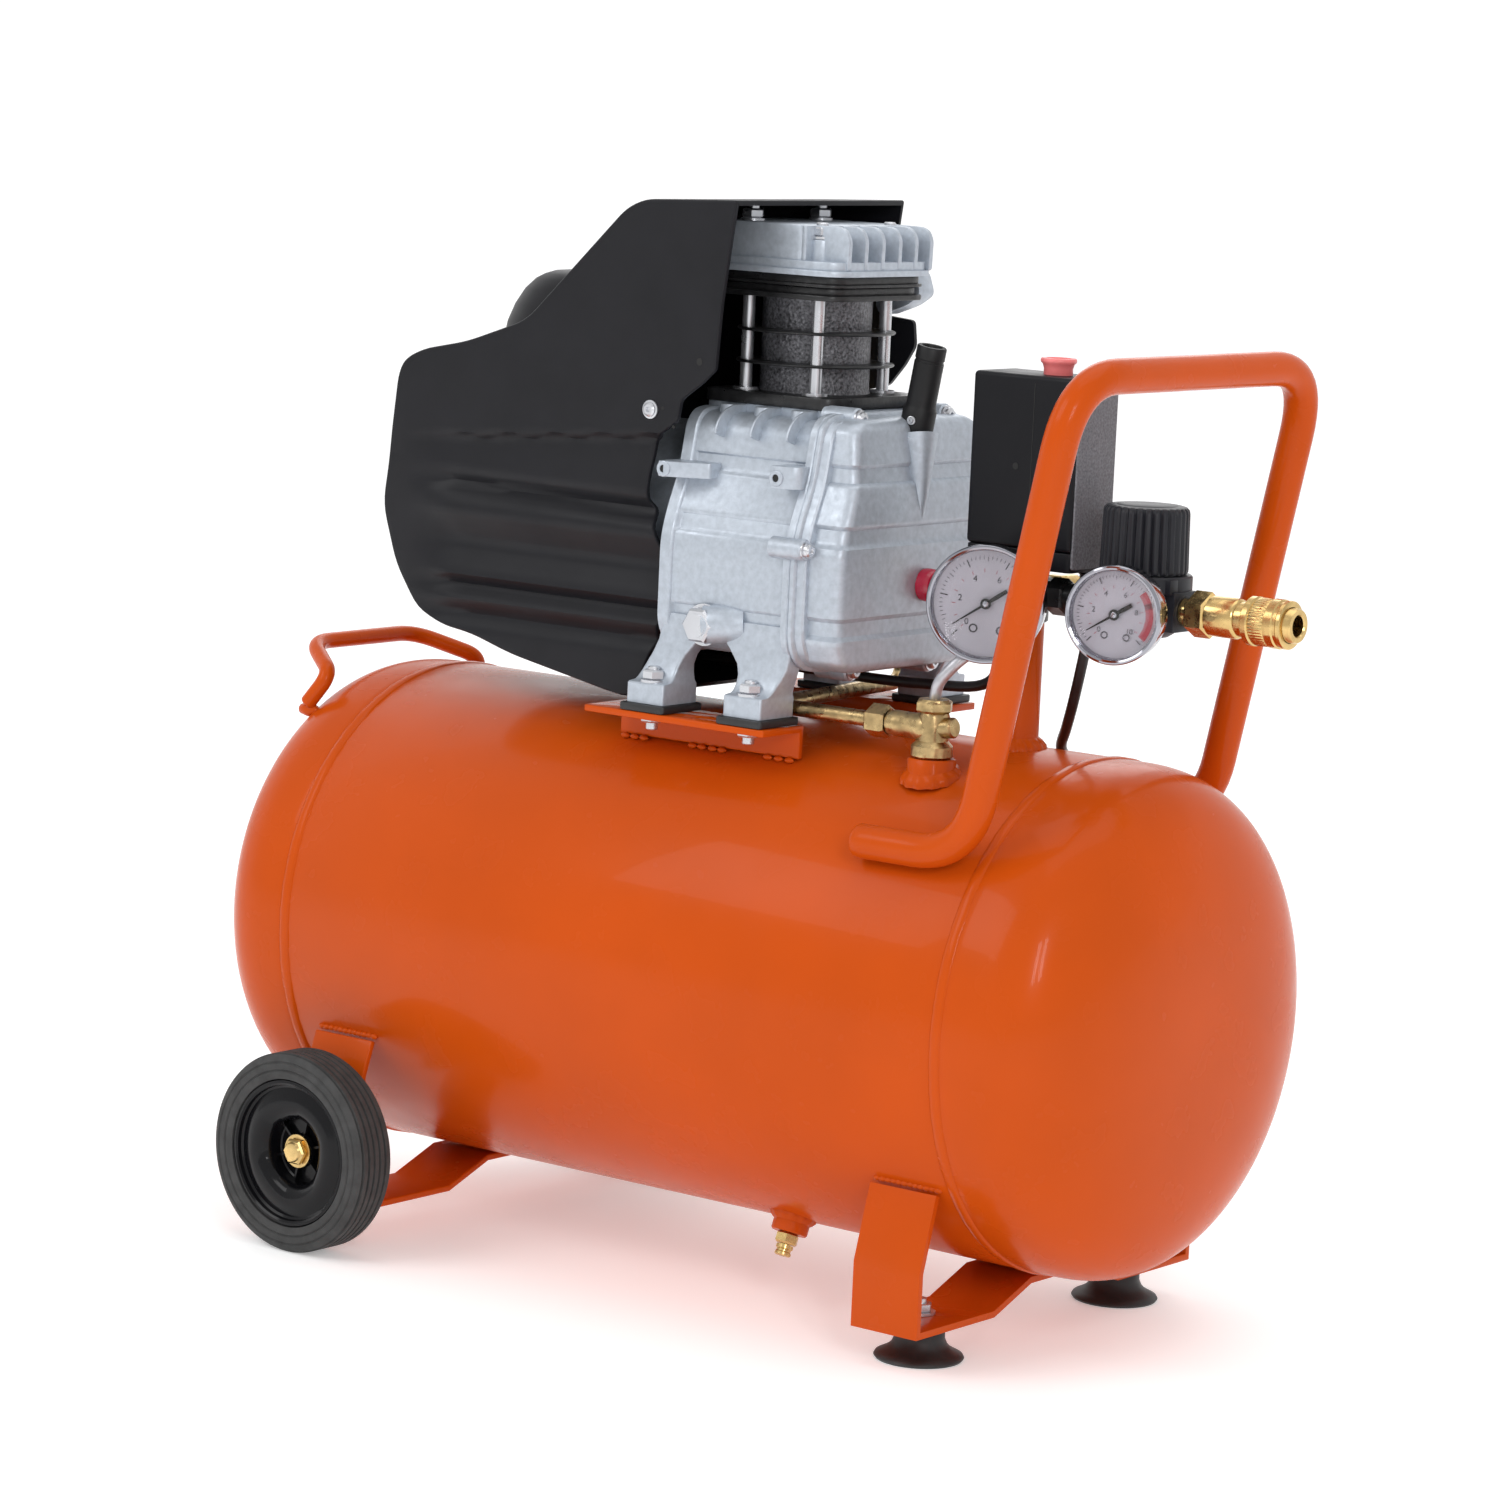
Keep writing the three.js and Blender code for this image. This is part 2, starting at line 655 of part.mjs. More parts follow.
// The crank: a web with its counterweight and pin, which the motor shaft runs into.
function crank() {
  const web = join(
    rodX(17, 2, 14, 0, crankPinZ, 24),
    rodX(30, 2, 14, 0, pump.shaftZ - 8, 24),
    rodX(8, 13, 40, 0, crankPinZ, 16),
  );
  return cut(web, rodX(motor.shaftRadius + gap, 0, 16, 0, pump.shaftZ, 20));
}

part("cylinder", cylinder(), "castIron");
part("valve_plate", valvePlate(), "steel");
part("cylinder_head", cylinderHead(), "castAluminium");
part("piston", piston(), "castAluminium");
part("connecting_rod", connectingRod(), "castAluminium");
part("crank", crank(), "castIron");

// ---- Motor, fan and shroud ----
const shaftAt = [0, 0, pump.shaftZ];

function stator() {
  return ring(motor.statorBore, motor.statorRadius, motor.x0, motor.x1, directions.x, shaftAt, 24);
}

function rotor() {
  const shaft = rodX(motor.shaftRadius, -207, 13, 0, pump.shaftZ, 16);
  const core = rodX(motor.rotorRadius, motor.x0 + 6, motor.x1 - 6, 0, pump.shaftZ, 20);
  return join(shaft, core);
}

// The end bell carries the rear bush in its middle.
function endBell() {
  const { statorRadius, shaftRadius, x0 } = motor;
  const rim = ring(50, statorRadius, x0 - 22, x0 - gap, directions.x, shaftAt, 24);
  const wall = ring(shaftRadius + gap, statorRadius - 4, x0 - 26, x0 - 12, directions.x, shaftAt, 24);
  return join(rim, wall);
}

function fanShape() {
  const hub = ring(motor.shaftRadius + gap, fan.hubRadius, fan.x0, fan.x1, directions.x, shaftAt, 16);
  const blades = [];
  const reach = fan.radius - fan.hubRadius + 3;
  for (let i = 0; i < fan.blades; i++) {
    const blade = new THREE.BoxGeometry(fan.x1 - fan.x0 + 2, fan.bladeThick, reach);
    blade.rotateZ(0.6).translate(0, 0, (fan.radius + fan.hubRadius - 3) / 2);
    blade.rotateX((2 * Math.PI * i) / fan.blades);
    blades.push(blade.translate((fan.x0 + fan.x1) / 2, 0, pump.shaftZ));
  }
  return join(hub, ...blades);
}

// The shroud's side view: its roof and back, its belly, and the stepped front edge that it is open along.
const shroudBack = [
  [-42, 348],
  [-59, 350],
  [-138, 364],
  [-170, 373],
  [-195, 376],
  [-214, 384],
  [-231, 410],
  [-240, 446],
  [-234, 474],
  [-228, 528],
  [-221, 541],
  [-208, 547],
  [-174, 554],
  [-128, 570],
  [-54, 641],
  [-40, 647],
  [28, 650],
];
const shroudFront = [
  [20, 589],
  [17.5, 551],
  [-7, 528],
  [-15, 513],
  [-28, 503],
  [-30, 467],
  [-21, 433],
  [-16, 410],
];

const shroudDome = { x: -158, y: 6, z: 545, radius: 50, topRadius: 30, height: 47 };

// The round dome on the shroud's roof, or the hollow inside it.
function shroudDomeShape(wall) {
  const { x, y, z, radius, topRadius, height } = shroudDome;
  const profile = [
    [0, height - wall],
    [topRadius - wall, height - wall],
    [radius - 4 - wall, height - 14],
    [radius - wall, height - 30],
    [radius - wall, -8],
    [0, -8],
  ];
  return turned(profile, directions.z, [x, y, z], 24);
}

// A moulded hood that is open towards the pump, with slots in its back and two outlets in its belly.
function fanShroud() {
  const { half, wall } = shroud;
  const outer = plateY([...shroudBack, ...shroudFront], -half, half);
  const wide = [...shroudBack, ...shroudFront.map(([x, z]) => [x + 60, z])];
  wide[0] = [40, 348];
  wide[shroudBack.length - 1] = [90, 652];
  const inner = plateY(inset(wide, wall), wall - half, half - wall);
  const slots = [0, 1, 2, 3, 4, 5].map((i) => block(-250, -226, -62, 62, 396 + i * 11, 401 + i * 11));
  const outlets = [-1, 1].map((side) => block(-100, -60, side * 50 - 14, side * 50 + 14, 340, 356));
  const headArch = block(-24, 90, -54, 54, 560, 645);
  const hood = join(outer, shroudDomeShape(0));
  return cut(hood, inner, shroudDomeShape(wall), ...slots, ...outlets, headArch);
}

part("fan_shroud", fanShroud(), "blackPlastic");
part("motor_stator", stator(), "steel");
part("motor_rotor", rotor(), "steel");
part("motor_end_bell", endBell(), "castAluminium");
part("cooling_fan", fanShape(), "blackPlastic");
part("bearing_front", ring(motor.shaftRadius + gap, 20, -27, -15, directions.x, shaftAt, 16), "steel");

// ---- Intake filter and air pipes ----
function airFilter() {
  return join(rodX(7, -27, pump.x - head.half - gap, 18, 616), rodX(14, -50, -26, 18, 616, 20));
}

const dischargeRoute = [
  [headOutlet.x, headOutlet.endY + gap, headOutlet.z],
  [headOutlet.x, 70, headOutlet.z],
  [headOutlet.x, 70, 535],
  [20, 90, 505],
  [27, 104, 468],
  [27, 104, 353],
  [68, checkValve.y, 355],
  [127, checkValve.y, 355],
];

function checkValveShape() {
  const { x, y, z, bungTop, top } = checkValve;
  const upright = [
    [0, bungTop + gap],
    [12, bungTop + gap],
    [12, bungTop + 8],
    [8, bungTop + 10],
    [8, top - 8],
    [9.5, top - 7],
    [9.5, top],
    [0, top],
  ];
  const arm = [
    [0, 127.4],
    [9, 127.4],
    [9, 141],
    [6.5, 143],
    [6.5, x],
    [0, x],
  ];
  return join(
    turned(upright, directions.z, [x, y, 0], 16),
    turned(arm, directions.x, [0, y, z + 1], 12),
  );
}

const unloaderRoute = [
  [checkValve.x, checkValve.y, checkValve.top + gap],
  [checkValve.x, checkValve.y, 388],
  [164, -14, 398],
  [164, -14, box.baseZ - gap],
];

part("air_filter", airFilter(), "blackPlastic");
part("discharge_tube", tube(bentPath(dischargeRoute, 18), 4, 40, 8), "copper");
part("check_valve", checkValveShape(), "brass");
part("unloader_tube", tube(bentPath(unloaderRoute, 20), 3, 24, 8), "steel");

// ---- Riser, manifold, pressure switch ----
const riserPipe = ring(riser.bore, riser.radius, 341.3, riser.topZ, directions.z, [riser.x, 0, 0], 24);
part("riser_pipe", riserPipe, "orange");

// A gauge looks along its face direction, turned from -Y towards +X.
function faceDirection(gauge) {
  const angle = THREE.MathUtils.degToRad(gauge.turn);
  return new THREE.Vector3(Math.sin(angle), -Math.cos(angle), 0);
}

function manifold() {
  const port = faceDirection(tankGauge);
  const face = tankGauge.face;
  const back = tankGauge.depth + tankGauge.stem;
  return join(
    rodZ(15, riser.topZ + gap, 441, riser.x, 0, 24),
    rodX(8.5, riser.x, 243, 0, lineZ),
    rod(7.5, -back - 18, -back - gap, port, face, 16),
    rodY(8, 0, 24, riser.x, lineZ, 16),
    rodZ(9, 440, box.baseZ - gap, riser.x, 0, 6),
  );
}

function switchBase() {
  const pan = block(box.x0, box.x1, -box.half, box.half, box.baseZ, box.splitZ);
  const contacts = block(178, 196, -15, 15, box.splitZ - 1, 505);
  const glands = [cordGland, leadGland].map(({ x, y, radius, length }) =>
    rodZ(radius, box.baseZ - length, box.baseZ + 1, x, y, 16),
  );
  return join(pan, contacts, ...glands);
}

function switchCover() {
  const z0 = box.splitZ + gap;
  const outer = block(box.x0, box.x1, -box.half, box.half, z0, box.topZ);
  const w = box.wall;
  const inner = block(box.x0 + w, box.x1 - w, w - box.half, box.half - w, z0 - 1, box.topZ - w);
  return cut(outer, inner, rodZ(button.radius + 0.8, 540, 560, button.x, 0, 24));
}

function switchButton() {
  const profile = [
    [0, 514],
    [button.stem, 514],
    [button.stem, 540],
    [button.radius, 540],
    [button.radius, button.topZ - 2.4],
    [button.flange, button.topZ - 2.4],
    [button.flange, button.topZ],
    [0, button.topZ],
  ];
  return turned(profile, directions.z, [button.x, 0, 0], 24);
}

part("outlet_manifold", manifold(), "castIron");
part("pressure_switch_base", switchBase(), "blackPlastic");
part("pressure_switch_cover", switchCover(), "blackPlastic");
part("switch_knob", switchButton(), "redPlastic");

// ---- Gauges ----
// A case with a recessed dial; the stem screws into the line behind it.
function gaugeCase(gauge) {
  const { radius, depth, stem } = gauge;
  const profile = [
    [0, -depth - stem],
    [5, -depth - stem],
    [5, -depth],
    [radius * 0.9, -depth],
    [radius * 0.97, -depth + 4],
    [radius * 0.97, -5],
    [radius, -4],
    [radius, 0],
    [radius - 3, 0],
    [radius - 4, -6],
    [2.3, -6],
    [2.3, -9],
    [0, -9],
  ];
  return turned(profile, faceDirection(gauge), gauge.face, 24);
}

// The needle at rest points down to the left, as seen from the front.
function gaugeNeedle(gauge) {
  const length = gauge.radius * 0.68;
  const pointer = new THREE.BoxGeometry(1.6, 0.8, length * 1.3);
  pointer.translate(0, 0, length * 0.35);
  const out = faceDirection(gauge);
  const right = new THREE.Vector3().crossVectors(out, directions.z).negate();
  const needle = join(
    pointer.rotateY(THREE.MathUtils.degToRad(gauge.rest)),
    rod(3, -0.6, 0.8, directions.y.clone().negate(), [0, 0, 0], 16),
    rod(1.8, -4.5, 0, directions.y.clone().negate(), [0, 0, 0], 12),
  );
  const placed = toGeometry(needle);
  const turn = new THREE.Matrix4().makeBasis(right, out.clone().negate(), directions.z);
  placed.applyMatrix4(turn);
  const middle = new THREE.Vector3(...gauge.face).addScaledVector(out, -3.6);
  return placed.translate(middle.x, middle.y, middle.z);
}

part("tank_gauge_case", gaugeCase(tankGauge), "chrome");
part("tank_gauge_needle", gaugeNeedle({ ...tankGauge, rest: -124 }), "needleBlack");
part("outlet_gauge_case", gaugeCase(outletGauge), "chrome");
part("outlet_gauge_needle", gaugeNeedle({ ...outletGauge, rest: -122 }), "needleBlack");

// ---- Regulator ----
function regulatorBody() {
  const { x, bodyRadius, collarRadius } = regulator;
  const port = faceDirection(outletGauge);
  const back = outletGauge.depth + outletGauge.stem;
  return cut(
    join(
      rodZ(bodyRadius, 414, 441, x, 0, 28),
      rodZ(collarRadius, 440, 450.5, x, 0, 28),
      rodX(10, 243 + gap, x, 0, lineZ, 20),
      rodX(10, x, coupler.x0 - gap, 0, lineZ, 20),
      rod(7.5, -back - 14, -back - gap, port, outletGauge.face, 16),
    ),
    rodZ(5 + gap, 430, 460, x, 0, 16),
  );
}

function regulatorKnob() {
  const { x, knobRadius, knobZ, knobTop } = regulator;
  const profile = [
    [0, knobTop],
    [knobRadius - 4, knobTop],
    [knobRadius - 1, knobTop - 3],
    [knobRadius, knobZ],
    [knobRadius - 4, knobZ],
    [knobRadius - 5, knobTop - 12],
    [5 + gap, knobTop - 12],
    [5 + gap, knobTop - 6],
    [0, knobTop - 6],
  ];
  return turned(profile, directions.z, [x, 0, 0], 24);
}

part("regulator_body", regulatorBody(), "blackPlastic");
part("regulator_spindle", rodZ(5, 431, regulator.knobTop - 7, regulator.x, 0, 16), "steel");
part("regulator_knob", regulatorKnob(), "blackPlastic");

// ---- Quick coupler ----
function couplerBody() {
  const { x0, x1, radius, nose, hexRadius, bore } = coupler;
  return cut(
    join(
      rodX(8, x0, x0 + 6, 0, lineZ, 20),
      rodX(hexRadius, x0 + 5, x0 + 19, 0, lineZ, 6),
      rodX(radius, x0 + 18, x0 + 38, 0, lineZ, 24),
      rodX(nose, x0 + 37, x1, 0, lineZ, 24),
    ),
    rodX(bore, x1 - 38, x1 + 1, 0, lineZ, 20),
  );
}

const sleeve = ring(coupler.nose + gap, coupler.sleeveRadius, 341, 367, directions.x, [0, 0, lineZ], 20);
part("coupler_body", couplerBody(), "brass");
part("coupler_sleeve", sleeve, "brass");

// ---- Safety valve, with a pull ring ----
const ringY = 66;

function safetyRing() {
  const loop = new THREE.TorusGeometry(9, 1.6, 6, 16);
  loop.rotateY(Math.PI / 2).translate(riser.x, ringY, lineZ);
  return join(rodY(2, 42, ringY - 8, riser.x, lineZ, 12), loop);
}

function safetyBody() {
  const body = join(rodY(7.5, 24 + gap, 52, riser.x, lineZ, 20), rodY(9, 30, 38, riser.x, lineZ, 6));
  return cut(body, rodY(2 + gap, 40, 60, riser.x, lineZ, 12));
}

part("safety_valve_body", safetyBody(), "brass");
part("safety_valve_ring", safetyRing(), "steel");

// ---- Drain ----
const drainBody = cut(
  rod(7.5, drain.bungEnd + gap, drain.bodyEnd, drainDirection, drainOrigin, 6),
  rod(3 + gap, drain.bungEnd, drain.bodyEnd + 1, drainDirection, drainOrigin, 12),
);
const drainScrew = join(
  rod(3, drain.bungEnd + 1, drain.bodyEnd + 1, drainDirection, drainOrigin, 12),
  rod(5.2, drain.bodyEnd + gap, drain.tip, drainDirection, drainOrigin, 16),
);
part("drain_valve_body", drainBody, "brass");
part("drain_screw", drainScrew, "brass");

// ---- Cables ----
const leadRoute = [
  [-96, 20, 383],
  [-84, 20, 368],
  [0, 22, 366],
  [100, 24, 366],
  [146, 27, 372],
  [162, 18, 398],
  [leadGland.x, leadGland.y, 418],
  [leadGland.x, leadGland.y, box.baseZ - leadGland.length - gap],
];

// The supply cord: down from the switch, over the tank's far shoulder, down to the ground and along it.
const cordRoute = [
  [cordGland.x, cordGland.y, box.baseZ - cordGland.length - gap],
  [cordGland.x, cordGland.y, 420],
  [221, 15, 404],
  [216, 18, 386],
  [208, 24, 366],
  [197, 35, 350],
  [184, 50, 337.5],
  [169, 77, 325],
  [152, 109, 300.5],
  [140, 133.5, 268.5],
  [131, 149.2, 231],
  [124, 154.6, 191],
  [119, 155.2, 150],
  [115, 155.6, 100],
  [112, 156.5, 50],
  [108, 159, 22],
  [99, 165, 6.5],
  [86, 169.6, 3.7],
  [66, 170.8, 3.6],
  [44.5, 171, 3.6],
];

function smooth(route) {
  const points = route.map((p) => new THREE.Vector3(...p));
  return new THREE.CatmullRomCurve3(points, false, "centripetal");
}

function cordCoil() {
  const { coilX, coilY, coilMean, coilHalf } = cord;
  const inner = coilMean - coilHalf;
  const outer = coilMean + coilHalf;
  return ring(inner, outer, gap, coilHalf * 2 + gap * 2, directions.z, [coilX, coilY, 0], 28);
}

// A two-pin plug that lies beside the coil, with its strain relief towards the coil.
function plug() {
  const at = [cord.coilX + 24.5, cord.coilY + cord.coilMean + cord.radius, 13.6];
  const profile = [
    [0, 0],
    [4.2, 0],
    [5.4, 20],
    [11, 26],
    [13, 34],
    [13, 58],
    [0, 58],
  ];
  const body = turned(profile, directions.x, at, 20);
  const pins = [-9.5, 9.5].map((offset) => rodX(2.4, at[0] + 57, at[0] + 77, at[1] + offset, at[2], 12));
  return join(body, ...pins);
}

part("motor_lead", tube(smooth(leadRoute), 3.2, 34, 8), "cordBlack");
part("power_cord", tube(smooth(cordRoute), cord.radius, 52, 8), "cordBlack");
part("power_cord_coil", cordCoil(), "cordBlack");
part("power_plug", plug(), "rubber");

export default compressor;
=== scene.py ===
"""The looks of a wheeled air compressor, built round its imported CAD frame. Metres, +Z up."""
import json
import math

import bmesh
import bpy
from mathutils import Matrix, Vector


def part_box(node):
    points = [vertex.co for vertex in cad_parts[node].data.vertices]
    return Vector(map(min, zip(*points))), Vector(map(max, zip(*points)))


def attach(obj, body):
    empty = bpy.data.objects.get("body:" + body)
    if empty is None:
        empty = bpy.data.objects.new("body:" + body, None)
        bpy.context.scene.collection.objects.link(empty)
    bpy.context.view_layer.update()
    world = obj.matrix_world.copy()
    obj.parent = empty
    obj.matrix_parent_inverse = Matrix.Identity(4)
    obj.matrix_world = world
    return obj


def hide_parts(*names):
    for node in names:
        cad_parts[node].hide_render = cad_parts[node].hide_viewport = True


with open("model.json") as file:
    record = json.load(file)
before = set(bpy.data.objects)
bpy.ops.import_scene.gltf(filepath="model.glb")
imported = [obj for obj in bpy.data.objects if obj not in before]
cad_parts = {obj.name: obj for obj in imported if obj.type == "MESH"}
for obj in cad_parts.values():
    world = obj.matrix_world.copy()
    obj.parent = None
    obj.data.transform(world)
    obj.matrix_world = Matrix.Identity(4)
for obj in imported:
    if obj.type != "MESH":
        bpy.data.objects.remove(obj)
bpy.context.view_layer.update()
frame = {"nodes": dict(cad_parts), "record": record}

MM = 0.001
TANK_LOW, TANK_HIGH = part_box("tank_shell")
MIDDLE_X = (TANK_LOW.x + TANK_HIGH.x) / 2  # the tank's middle, which lengths along X are counted from
X, Y, Z = Vector((1, 0, 0)), Vector((0, 1, 0)), Vector((0, 0, 1))

# Millimetres from the tank's middle, and from the ground.
TANK = {"radius": 150, "z": 191, "seam": 245.5, "skirt": 8, "dome": 75, "square": 2.97}
SHAFT_Z = 448
CYL_X = 28
LINE_Z = 431
RAIL_TOP = 346
GAUGES = {
    "tank": {"face": (201, -60, 429), "turn": 25, "radius": 34, "depth": 24, "rest": -124},
    "outlet": {"face": (287.5, -60, 432), "turn": 16, "radius": 28, "depth": 21, "rest": -122},
}
RISER_X = 186
REGULATOR_X = 267.5
INLET = (172, -63)  # the check valve's bung on top of the tank
DRAIN_BASE = Vector((86, 0, TANK["z"]))
DRAIN_OUT = Vector((0, -60, -139)).normalized()
CAMERA = {
    "azimuth": 37.55, "elevation": 8.17, "roll": 2.58,
    "lens": 121.68, "distance": 3.0558, "aim": (-7.6, 0, 314.9),
}


def at(x, y, z):
    """A point in metres, from millimetres counted from the tank's middle."""
    return Vector((x * MM + MIDDLE_X, y * MM, z * MM))


def link(name, data):
    """A new object in the scene."""
    obj = bpy.data.objects.new(name, data)
    bpy.context.scene.collection.objects.link(obj)
    return obj


def evaluated_mesh(obj):
    """A copy of an object's mesh with its modifiers applied."""
    bpy.context.view_layer.update()
    return bpy.data.meshes.new_from_object(obj.evaluated_get(bpy.context.evaluated_depsgraph_get()))


# ---- Camera ----
def make_camera():
    azimuth, elevation, roll = (math.radians(CAMERA[k]) for k in ("azimuth", "elevation", "roll"))
    level = math.cos(elevation)
    back = Vector((math.sin(azimuth) * level, -math.cos(azimuth) * level, math.sin(elevation)))
    level_right = Vector((math.cos(azimuth), math.sin(azimuth), 0))
    level_up = back.cross(level_right)
    right = math.cos(roll) * level_right + math.sin(roll) * level_up
    up = back.cross(right)
    camera = link("camera", bpy.data.cameras.new("camera"))
    camera.data.lens = CAMERA["lens"]
    camera.data.sensor_width = 36
    camera.data.clip_end = 100
    turn = Matrix((right, up, back)).transposed().to_4x4()
    camera.matrix_world = Matrix.Translation(at(*CAMERA["aim"]) + back * CAMERA["distance"]) @ turn
    bpy.context.scene.camera = camera


make_camera()
bpy.context.scene.view_settings.view_transform = "Standard"


# ---- Materials ----
class Shader:
    """A Principled material with its nodes, in object coordinates."""

    def __init__(self, name, colour, roughness, metallic=0.0, **sockets):
        self.material = bpy.data.materials.new(name)
        self.material.use_nodes = True
        self.nodes = self.material.node_tree.nodes
        self.links = self.material.node_tree.links
        self.main = self.nodes["Principled BSDF"]
        self.main.inputs["Base Color"].default_value = (*colour, 1)
        self.main.inputs["Roughness"].default_value = roughness
        self.main.inputs["Metallic"].default_value = metallic
        for socket, value in sockets.items():
            self.main.inputs[socket.replace("_", " ")].default_value = value
        self.place = self.nodes.new("ShaderNodeTexCoord").outputs["Object"]
        self.colour = colour
        self.normal = None

    def noise(self, scale, detail=3.0):
        node = self.nodes.new("ShaderNodeTexNoise")
        node.inputs["Scale"].default_value = scale
        node.inputs["Detail"].default_value = detail
        node.inputs["Roughness"].default_value = 0.55
        self.links.new(self.place, node.inputs["Vector"])
        return node.outputs["Fac"]

    def spread(self, value, low, high):
        """Maps the middle of a noise's range onto low to high."""
        node = self.nodes.new("ShaderNodeMapRange")
        node.inputs["From Min"].default_value = 0.3
        node.inputs["From Max"].default_value = 0.7
        node.inputs["To Min"].default_value = low
        node.inputs["To Max"].default_value = high
        self.links.new(value, node.inputs["Value"])
        return node.outputs["Result"]

    def mottle(self, scale, amount, detail=3.0):
        """Varies the base colour between a darker and a lighter tone."""
        ramp = self.nodes.new("ShaderNodeValToRGB")
        ramp.color_ramp.elements[0].position = 0.3
        ramp.color_ramp.elements[1].position = 0.7
        ramp.color_ramp.elements[0].color = (*[c * (1 - amount) for c in self.colour], 1)
        ramp.color_ramp.elements[1].color = (*[min(1, c * (1 + amount)) for c in self.colour], 1)
        self.links.new(self.noise(scale, detail), ramp.inputs["Fac"])
        self.links.new(ramp.outputs["Color"], self.main.inputs["Base Color"])
        return self

    def gloss(self, scale, low, high):
        """Varies the roughness."""
        self.links.new(self.spread(self.noise(scale), low, high), self.main.inputs["Roughness"])
        return self

    def grain(self, scale, strength, distance, detail=2.0):
        """Adds a bump."""
        bump = self.nodes.new("ShaderNodeBump")
        bump.inputs["Strength"].default_value = strength
        bump.inputs["Distance"].default_value = distance
        self.links.new(self.noise(scale, detail), bump.inputs["Height"])
        if self.normal is not None:
            self.links.new(self.normal, bump.inputs["Normal"])
        self.normal = bump.outputs["Normal"]
        self.links.new(self.normal, self.main.inputs["Normal"])
        return self


